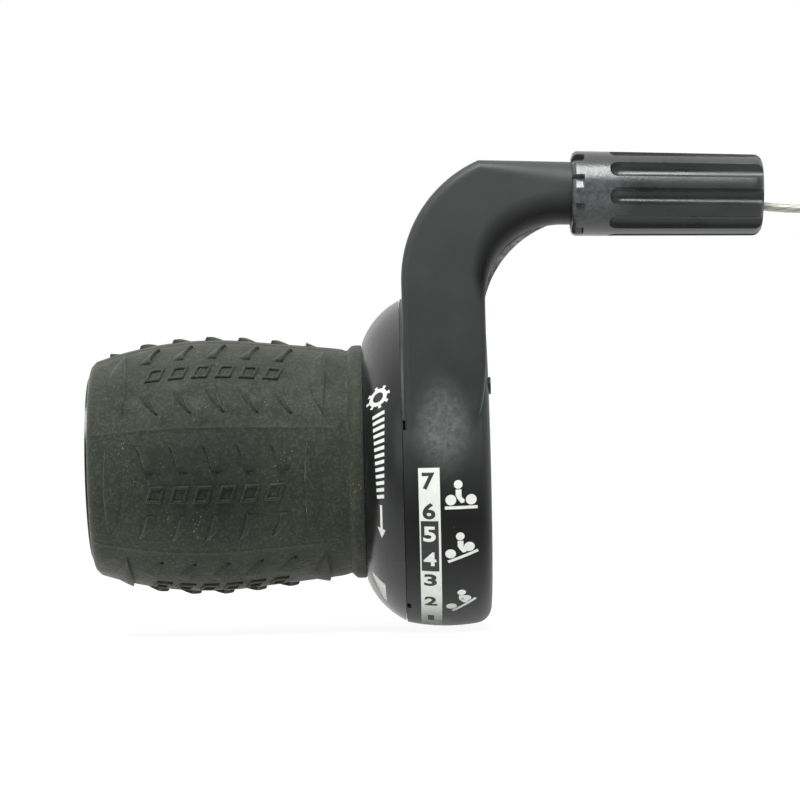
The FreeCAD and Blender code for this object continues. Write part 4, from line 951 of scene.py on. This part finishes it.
def bank(grid, edges, rise):
    """Closed raised form over a grid of flat points, which ramps up from its first column to its last."""
    form = bmesh.new()
    rows = len(grid)
    columns = len(grid[0])
    top = []
    for i, row in enumerate(grid):
        line = []
        for j, (x, y) in enumerate(row):
            at_end = i in (0, rows - 1)
            line.append(form.verts.new((x, y, rise * RAMP[j] * (END_SHARE if at_end else 1.0))))
        top.append(line)
    for i in range(rows - 1):
        for j in range(columns - 1):
            form.faces.new((top[i][j], top[i][j + 1], top[i + 1][j + 1], top[i + 1][j]))
    right = [top[i][-1] for i in range(1, rows)]
    left = [top[i][0] for i in range(rows - 2, 0, -1)]
    loop = top[0] + right + top[-1][-2::-1] + left
    middle = Vector((sum(v.co.x for v in loop) / len(loop), sum(v.co.y for v in loop) / len(loop), 0))
    skirt = []
    for vert in loop:
        out = (Vector((vert.co.x, vert.co.y, 0)) - middle).normalized() * edges
        skirt.append(form.verts.new((vert.co.x + out.x, vert.co.y + out.y, FIN_FOOT)))
    for i, vert in enumerate(loop):
        j = (i + 1) % len(loop)
        form.faces.new((loop[i], skirt[i], skirt[j], loop[j]))
    form.faces.new(skirt)
    bmesh.ops.recalc_face_normals(form, faces=form.faces[:])
    return form


def fin(x, side):
    """Fin on one side of the band, which leans away from it."""
    grid = []
    for s in ROWS:
        bulge = 4 * s * (1 - s)
        left = x + FIN_LEAN * s - FIN_BOW * bulge
        right = x + FIN_BASE + (FIN_LEAN + FIN_TIP - FIN_BASE) * s - HEEL_BOW * bulge
        y = side * (BAND_HALF + FIN_LONG * s)
        grid.append([(left + (right - left) * t, y) for t in COLUMNS])
    return bank(grid, FIN_DRAFT, FIN_RISE)


def crescent(x):
    """Crescent across the end of a panel."""
    grid = []
    for i in range(CRESCENT_ROWS):
        s = -CRESCENT_END + 2 * CRESCENT_END * i / (CRESCENT_ROWS - 1)
        left = -CRESCENT_OUT * (1 - s**2)
        right = CRESCENT_IN * (1 - s**2)
        grid.append([(x + FIN_LEAN + left + (right - left) * t, CRESCENT_HALF * s) for t in COLUMNS])
    return bank(grid, FIN_DRAFT, FIN_RISE)


def lozenge(x):
    """Slanted hollow lozenge, a low bead round a sunk middle."""
    form = bmesh.new()
    levels = []
    for share, z in LOZENGE_BEAD:
        level = []
        for (outer_x, outer_y), (inner_x, inner_y) in zip(LOZENGE_OUTER, LOZENGE_INNER):
            at_x = x + outer_x + (inner_x - outer_x) * share
            level.append(form.verts.new((at_x, outer_y + (inner_y - outer_y) * share, z)))
        levels.append(level)
    for first, second in zip(levels, levels[1:] + levels[:1]):
        for i in range(4):
            j = (i + 1) % 4
            form.faces.new((first[i], first[j], second[j], second[i]))
    bmesh.ops.recalc_face_normals(form, faces=form.faces[:])
    return form


panel_forms = []
for place in range(FIN_COUNT):
    fin_x = -FIN_LEAN / 2 + (place - (FIN_COUNT - 1) / 2) * FIN_PITCH
    panel_forms += [fin(fin_x, side) for side in (-1, 1)]
for side in (-1, 1):
    panel_forms.append(crescent(-FIN_LEAN / 2 + side * (FIN_COUNT + 1) / 2 * FIN_PITCH))
for place in range(LOZENGES):
    panel_forms.append(lozenge((place - (LOZENGES - 1) / 2) * LOZENGE_PITCH))

for form in panel_forms:
    long_edges = [edge for edge in form.edges if edge.calc_length() > LONGEST_EDGE]
    bmesh.ops.subdivide_edges(form, edges=long_edges, cuts=2, use_grid_fill=True)
panel_mesh = joined("tread_panel", panel_forms)

# The rule that lays six such panels round the sleeve, every other one turned end for end
wrap = bpy.data.node_groups.new("tread_wrap", "GeometryNodeTree")
wrap.interface.new_socket("Geometry", in_out="INPUT", socket_type="NodeSocketGeometry")
WRAP_SIZES = [
    ("Panels", "Int", PANELS),
    ("Panel Step", "Float", math.tau / PANELS * CONE_R),
    ("First Angle", "Float", math.radians(PANEL_AT)),
    ("Panel X", "Float", PANEL_X),
    ("Round R", "Float", CONE_R),
    ("Belly X", "Float", BELLY_X),
    ("Belly Z", "Float", BELLY_Z),
    ("Belly R", "Float", BELLY_R),
    ("Cone Start", "Float", CONE_START),
    ("Cone Fall", "Float", CONE_FALL),
    ("Foot Shade Below", "Float", FIN_FOOT + FOOT_SHADE_HIGH),
]
wrap_sockets = {}
for label, kind, _ in WRAP_SIZES:
    wrap_sockets[label] = wrap.interface.new_socket(label, in_out="INPUT", socket_type=f"NodeSocket{kind}")
wrap.interface.new_socket("Geometry", in_out="OUTPUT", socket_type="NodeSocketGeometry")
given = wrap.nodes.new("NodeGroupInput").outputs
step = put(wrap, "ShaderNodeCombineXYZ", Y=calc(wrap, "MULTIPLY", given["Panel Step"], -1.0)).outputs[0]
line = put(wrap, "GeometryNodeMeshLine", Count=given["Panels"], Offset=step).outputs["Mesh"]
odd = calc(wrap, "MODULO", put(wrap, "GeometryNodeInputIndex").outputs[0], 2.0)
about = put(wrap, "ShaderNodeCombineXYZ", Z=calc(wrap, "MULTIPLY", odd, math.pi)).outputs[0]
copies = put(
    wrap, "GeometryNodeInstanceOnPoints", Points=line, Instance=given["Geometry"], Rotation=about
).outputs["Instances"]
real = put(wrap, "GeometryNodeRealizeInstances", Geometry=copies).outputs["Geometry"]
flat_at = put(wrap, "ShaderNodeSeparateXYZ", Vector=put(wrap, "GeometryNodeInputPosition").outputs[0]).outputs
along = calc(wrap, "ADD", flat_at["X"], given["Panel X"])
from_belly = calc(wrap, "SUBTRACT", along, given["Belly X"])
from_belly = calc(wrap, "POWER", calc(wrap, "ABSOLUTE", from_belly), 2.0)
bow = calc(wrap, "SUBTRACT", calc(wrap, "POWER", given["Belly R"], 2.0), from_belly)
belly = calc(wrap, "ADD", given["Belly Z"], calc(wrap, "SQRT", bow))
fall = calc(wrap, "MULTIPLY", given["Cone Fall"], calc(wrap, "SUBTRACT", along, given["Cone Start"]))
cone = calc(wrap, "SUBTRACT", given["Round R"], fall)
is_cone = calc(wrap, "GREATER_THAN", along, given["Cone Start"])
plain = put(wrap, "ShaderNodeMix", Factor=is_cone, A=belly, B=cone).outputs["Result"]
reach = calc(wrap, "ADD", plain, flat_at["Z"])
angle = calc(wrap, "SUBTRACT", given["First Angle"], calc(wrap, "DIVIDE", flat_at["Y"], given["Round R"]))
round_at = put(
    wrap,
    "ShaderNodeCombineXYZ",
    X=along,
    Y=calc(wrap, "MULTIPLY", reach, calc(wrap, "COSINE", angle)),
    Z=calc(wrap, "MULTIPLY", reach, calc(wrap, "SINE", angle)),
).outputs[0]
in_metres = put(wrap, "ShaderNodeVectorMath", {"operation": "SCALE"}, Vector=round_at, Scale=MM).outputs[0]
# Marks the feet of the fins for their painted shadow
at_foot = calc(wrap, "LESS_THAN", flat_at["Z"], given["Foot Shade Below"])
marked = put(
    wrap, "GeometryNodeStoreNamedAttribute", {"domain": "POINT"}, Geometry=real, Name="fin_foot_shade", Value=at_foot
).outputs["Geometry"]
laid = put(wrap, "GeometryNodeSetPosition", Geometry=marked, Position=in_metres).outputs["Geometry"]
coated = put(wrap, "GeometryNodeSetMaterial", Geometry=laid, Material=soft_rubber).outputs["Geometry"]
wrap.links.new(coated, wrap.nodes.new("NodeGroupOutput").inputs["Geometry"])


def grown(name, mesh, tree, sockets, sizes):
    """Plain mesh that a geometry tree makes from another mesh."""
    holder = bpy.data.objects.new(name, mesh)
    bpy.context.scene.collection.objects.link(holder)
    rule = holder.modifiers.new(name, "NODES")
    rule.node_group = tree
    for label, _, value in sizes:
        rule[sockets[label].identifier] = value
    graph = bpy.context.evaluated_depsgraph_get()
    made = bpy.data.meshes.new_from_object(holder.evaluated_get(graph), depsgraph=graph)
    bpy.data.objects.remove(holder)
    return made


tread_mesh = grown("tread_panels", panel_mesh, wrap, wrap_sockets, WRAP_SIZES)
new_piece("grip_tread", tread_mesh, soft_rubber, "grip", sharp=50.0)
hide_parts("grip_rubber")

# Barrel adjuster: fluted knob in semi-gloss black plastic, screwed on to the elbow's tube.
# Nine round-bottomed flutes run out through its free end; between them its rim is stepped for the click.
# A plated steel washer lies at the bottom of its socket, where the gear casing bears on it.
KNOB_BLACK = (0.017, 0.02, 0.0205, 1)
KNOB_WORN = (0.085, 0.093, 0.092, 1)
KNOB_HAZE = (0.1, 0.108, 0.108, 1)
KNOB_ROUGH = (0.24, 0.38)
KNOB_SPARK = 1700.0
KNOB_BUMP = 1.0
KNOB_SPECULAR = 0.9
KNOB_RUB_AT = Vector((27, -24.1, 36.5)) * MM
KNOB_RUB_REACH = Vector((6.8, 6.8, 6.8)) * MM
KNOB_AT = Vector((24, -18.6, 36.5))
KNOB_DROOP = math.radians(2)
KNOB_LONG = 26.3
KNOB_R = 5.86
KNOB_END_R = 5.58
KNOB_ROUND = 0.8
KNOB_END_ROUND = 1.2
FLUTES = 9
FLUTE_FIRST = math.radians(106)
FLUTE_R = 1.15
FLUTE_BED_R = 5.75
FLUTE_START = 6.35
FLUTE_LEAST = 0.02
FLUTE_FLARE = 6
STEP_LONG = 1.7
STEP_WIDE = 1.9
STEP_DEEP = 0.75
STEP_RUN = 0.25
EDGE_SOFT = 0.14
KNOB_SIDES = 360

semi_gloss = moulded_plastic(
    "semi_gloss", KNOB_BLACK, KNOB_WORN, KNOB_ROUGH, KNOB_SPARK, KNOB_BUMP,
    KNOB_RUB_AT, KNOB_HAZE, KNOB_RUB_REACH, KNOB_SPECULAR,
)


def softer(first, second):
    """Lesser of two radii, with the corner between them rounded."""
    share = max(EDGE_SOFT - abs(first - second), 0) / EDGE_SOFT
    return min(first, second) - share**2 * EDGE_SOFT / 4


def knob_skin(x):
    """Rule for the knob's outside at a distance from its rim."""
    plain = KNOB_R + (KNOB_END_R - KNOB_R) * x / KNOB_LONG
    if x < KNOB_ROUND:
        plain -= KNOB_ROUND - math.sqrt(KNOB_ROUND**2 - (KNOB_ROUND - x) ** 2)
    from_end = KNOB_LONG - x
    if from_end < KNOB_END_ROUND:
        plain -= KNOB_END_ROUND - math.sqrt(KNOB_END_ROUND**2 - (KNOB_END_ROUND - from_end) ** 2)
    before = max(FLUTE_START - x, 0)
    bore = math.sqrt(max(FLUTE_R**2 - before**2, 0))
    in_step = min(max((STEP_LONG - x) / STEP_RUN, 0), 1)

    def rule(angle):
        pitch = math.tau / FLUTES
        off = (angle - FLUTE_FIRST + pitch / 2) % pitch - pitch / 2
        radius = plain
        if bore > FLUTE_LEAST:
            widest = math.asin(bore / FLUTE_BED_R)
            if abs(off) < widest:
                inside = bore**2 - (FLUTE_BED_R * math.sin(off)) ** 2
                channel = FLUTE_BED_R * math.cos(off) - math.sqrt(max(inside, 0))
            else:
                channel = FLUTE_BED_R * math.cos(widest) + (abs(off) - widest) * FLUTE_BED_R * FLUTE_FLARE
            radius = softer(radius, channel)
        if in_step > 0:
            across = (((angle - FLUTE_FIRST) % pitch) - pitch / 2) * KNOB_R
            if abs(across) < STEP_WIDE / 2:
                deep = STEP_DEEP * (STEP_WIDE / 2 - across) / STEP_WIDE * in_step
                radius = min(radius, plain - deep)
        return radius

    return rule


knob_xs = [0.0, 0.06, 0.2, 0.4, 0.6, 0.8, 1.1, 1.4, 1.45, 1.55, 1.7, 1.8, 2.4, 3.2, 4.2]
knob_xs += [4.9, 5.15, 5.2, 5.26, 5.35, 5.5, 5.7, 5.95, 6.35]
knob_xs += [7 + 1.5 * i for i in range(12)]
knob_xs += [24.4, 25.1, 25.35, 25.6, 25.8, 26.0, 26.15, 26.25, 26.3]
knob_rings = [(-2.2, 1.65), (-2.2, 2.8), (-2.0, 3.0), (5.0, 3.0), (5.0, 4.71), (0.15, 4.71), (0.0, 4.85)]
knob_rings += [(x, knob_skin(x)) for x in knob_xs]
knob_rings += [(26.3, 3.0), (26.18, 2.72), (26.0, 2.6), (18.0, 2.6), (18.0, 1.65)]
knob_place = Matrix.Translation(KNOB_AT * MM) @ Matrix.Rotation(KNOB_DROOP, 4, "Y")
knob_mesh = ring_mesh("fluted_knob", knob_rings[::-1], even_angles(KNOB_SIDES), knob_place)
knob = new_piece("fluted_knob", knob_mesh, semi_gloss, "adjuster", sharp=35.0)
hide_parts("adjuster_knob")
finish_node("casing_seat", zinc_plate)

# Gear wire: stranded steel, cast into a small round head at the spool, free from the adjuster onwards.
# Two metres long in all; the length beyond the view is wound in a neat coil that a tie holds on the wire.
WIRE_D = 1.2 * MM
WIRE_Y = -18.6
WIRE_ROUTE = [
    (31.0, 36.255),
    (41.5, 35.889),
    (51.5, 33.640),
    (61.0, 33.400),
    (69.5, 32.900),
    (76.5, 31.800),
    (82.0, 28.700),
]
WIRE_FREE = 1.9
WIRE_LAY = 7.0 * MM
WIRE_STRANDS = 6
WIRE_BRIGHT = (0.6, 0.595, 0.53, 1)
WIRE_DULL = (0.5, 0.5, 0.44, 1)
# Darker colour in the grooves between strands: painted shade
WIRE_GROOVE_SHADE = (0.24, 0.24, 0.21, 1)
WIRE_GROOVE_SHADE_WIDE = 0.4
WIRE_ROUGH = (0.44, 0.6)
WIRE_METAL = 0.6
WIRE_BUMP = 0.4
WIRE_DEEP = 0.05 * MM
WIRE_CLOUD = 500.0
INNER_BRIGHT = (0.6, 0.59, 0.57, 1)
INNER_DULL = (0.4, 0.39, 0.38, 1)
INNER_LINES = 5000.0
CAP_BRIGHT = (0.78, 0.78, 0.79, 1)
CAP_DULL = (0.55, 0.55, 0.56, 1)
CAP_LINES = 4000.0
DRAWN_ROUGH = 0.3
COIL_X = 73.5
COIL_Z = 15.9
COIL_TURN_POINTS = 16
COIL_LAYERS = [13.6, 12.35, 11.1, 9.85, 8.6]
COIL_SIDE = 3.05
COIL_LAYER_TURNS = 5
COIL_START = 56.4
COIL_LEAD_IN = [(15.5, 0.9), (15.5, 2.0), (15.2, 2.9), (14.6, COIL_SIDE)]
CAP_SIDE = -4.9
CAP_R = 11.2
CAP_ANGLE = -40.0
CAP_DEEP = 6.5
CAP_CROSSING = 1.6
TIE_AT = 86.0
TIE_HALF = 3.95
TIE_FOOT = 7.85
TIE_TOP = 17.2
TIE_THICK = 0.6
TIE_WIDE = 3.0
TIE_SOFT = 1.6
TIE_STEPS = 6
TIE_HEAD_AT = 12.4
TIE_HEAD_OUT = 0.5
TIE_HEAD = (3.0, 0.9, 3.2)
TIE_HEAD_ROUND = 0.25
TIE_SECTION = [(0.0, -0.86), (0.0, 0.86), (0.25, 1.0), (0.75, 1.0)]
TIE_SECTION += [(1.0, 0.86), (1.0, -0.86), (0.75, -1.0), (0.25, -1.0)]
TIE_BLACK = (0.03, 0.03, 0.03, 1)
TIE_WORN = (0.08, 0.08, 0.08, 1)
TIE_ROUGH = (0.5, 0.65)
TIE_SPARK = 2500.0
TIE_BUMP = 0.4


def coil_point(radius, angle, side):
    """Point beside the coil's middle, at a radius and an angle seen from the front, in mm."""
    turn = math.radians(angle)
    return (COIL_X + radius * math.cos(turn), WIRE_Y + side, COIL_Z + radius * math.sin(turn))


wire_points = [(x, WIRE_Y, z) for x, z in WIRE_ROUTE]
step = 360 / COIL_TURN_POINTS
outside = 1 / math.cos(math.pi / COIL_TURN_POINTS)
angle = COIL_START
for radius, side in COIL_LEAD_IN:
    angle -= step
    wire_points.append(coil_point(radius * outside, angle, side))
for layer, radius in enumerate(COIL_LAYERS):
    way = -1 if layer % 2 == 0 else 1
    for i in range(COIL_LAYER_TURNS * COIL_TURN_POINTS):
        angle -= step
        share = i / (COIL_LAYER_TURNS * COIL_TURN_POINTS - 1)
        wire_points.append(coil_point(radius * outside, angle, way * COIL_SIDE * (2 * share - 1)))
last_side = wire_points[-1][1] - WIRE_Y
turn_left = (angle - CAP_ANGLE) % 360 + 360
lead_out = int(turn_left / step)
for i in range(1, lead_out + 1):
    share = i / lead_out
    side = last_side + (CAP_SIDE - last_side) * min(share * CAP_CROSSING, 1.0)
    radius = COIL_LAYERS[-1] + (CAP_R - COIL_LAYERS[-1]) * max(share * 2 - 1, 0)
    wire_points.append(coil_point(radius * outside, angle - turn_left * share, side))
cap_way = math.radians(CAP_ANGLE)
mouth = coil_point(CAP_R, CAP_ANGLE, CAP_SIDE)
cap_end = (mouth[0] + CAP_DEEP * math.sin(cap_way), mouth[1], mouth[2] - CAP_DEEP * math.cos(cap_way))
wire_points.append(cap_end)

strand, tree, shader, height = new_material("stranded_steel", WIRE_BUMP, WIRE_DEEP)
run = put(tree, "ShaderNodeSeparateXYZ", Vector=put(tree, "ShaderNodeUVMap").outputs[0]).outputs
twist = calc(tree, "ADD", calc(tree, "MULTIPLY", run["X"], WIRE_FREE / WIRE_LAY), run["Y"])
ridge = calc(tree, "ABSOLUTE", calc(tree, "SINE", calc(tree, "MULTIPLY", twist, WIRE_STRANDS * math.pi)))
skin = place_group(tree, spark, Spark_Scale=METAL_SPARK, Cloud_Scale=WIRE_CLOUD)
bright = tint(tree, skin["Cloud"], WIRE_BRIGHT, WIRE_DULL)
# Grooves between the strands darker: painted shade
bright = tint(tree, spread(tree, ridge, 0.0, WIRE_GROOVE_SHADE_WIDE), WIRE_GROOVE_SHADE, bright)
feed(tree, shader["Base Color"], bright)
feed(tree, shader["Roughness"], spread(tree, skin["Cloud"], 0.0, 1.0, *WIRE_ROUGH))
feed(tree, shader["Metallic"], WIRE_METAL)
feed(tree, height, ridge)

wire_line = bpy.data.curves.new("gear_wire", "CURVE")
wire_line.dimensions = "3D"
wire_line.bevel_depth = WIRE_D / 2
wire_line.bevel_resolution = 3
wire_line.resolution_u = 4
wire_line.use_fill_caps = True
spline = wire_line.splines.new("NURBS")
spline.points.add(len(wire_points) - 1)
for point, (x, y, z) in zip(spline.points, wire_points):
    point.co = (x * MM, y * MM, z * MM, 1)
spline.order_u = 3
spline.use_endpoint_u = True
wire_line.materials.append(strand)
wire = bpy.data.objects.new("gear_wire", wire_line)
bpy.context.scene.collection.objects.link(wire)
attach(wire, "cable")
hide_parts("cable_tail", "cable_coil")

tie_black = moulded_plastic("tie_black", TIE_BLACK, TIE_WORN, TIE_ROUGH, TIE_SPARK, TIE_BUMP)
crimped = worked_metal("crimped_aluminium", CAP_BRIGHT, CAP_DULL, DRAWN_ROUGH, CAP_LINES)
inner_wire = worked_metal("inner_wire", INNER_BRIGHT, INNER_DULL, DRAWN_ROUGH, INNER_LINES)
finish_node("cable_inner", inner_wire)
finish_node("cable_nipple", crimped)
finish_node("cable_end_cap", crimped)


def strap_loop(grow):
    """Closed line round coil and wire with rounded corners, as side and height over the coil's middle."""
    line = []
    half = TIE_HALF + grow
    for corner, (across, up) in enumerate(((1, 1), (-1, 1), (-1, -1), (1, -1))):
        soft = TIE_SOFT + grow
        rise = TIE_TOP + grow - soft if up > 0 else TIE_FOOT - grow + soft
        middle = (across * (half - soft), rise)
        for i in range(TIE_STEPS + 1):
            turn = math.radians(90) * (corner + i / TIE_STEPS)
            line.append((middle[0] + soft * math.cos(turn), middle[1] + soft * math.sin(turn)))
    return line


tie_form = bmesh.new()
tie_lines = []
for out, across in TIE_SECTION:
    line = strap_loop(TIE_THICK * out)
    tie_lines.append([tie_form.verts.new((across * TIE_WIDE / 2, y, z)) for y, z in line])
for first, second in zip(tie_lines, tie_lines[1:] + tie_lines[:1]):
    for i in range(len(first)):
        j = (i + 1) % len(first)
        tie_form.faces.new((first[i], first[j], second[j], second[i]))
head = bmesh.ops.create_cube(tie_form, size=1.0)["verts"]
head_middle = Vector((0, -TIE_HALF - TIE_HEAD_OUT, TIE_HEAD_AT))
for vert in head:
    vert.co = head_middle + vert.co * Vector(TIE_HEAD)
head_edges = list({edge for vert in head for edge in vert.link_edges})
bmesh.ops.bevel(tie_form, geom=head_edges, offset=TIE_HEAD_ROUND, segments=2, affect="EDGES")
bmesh.ops.recalc_face_normals(tie_form, faces=tie_form.faces[:])
tie_turn = Matrix.Rotation(math.radians(90 - TIE_AT), 4, "Y")
tie_place = Matrix.Translation(Vector((COIL_X, WIRE_Y, COIL_Z)) * MM)
tie_form.transform(tie_place @ tie_turn @ Matrix.Scale(MM, 4))
strap = new_piece("coil_strap", joined("coil_strap", [tie_form]), tie_black, "cable")
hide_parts("coil_tie")
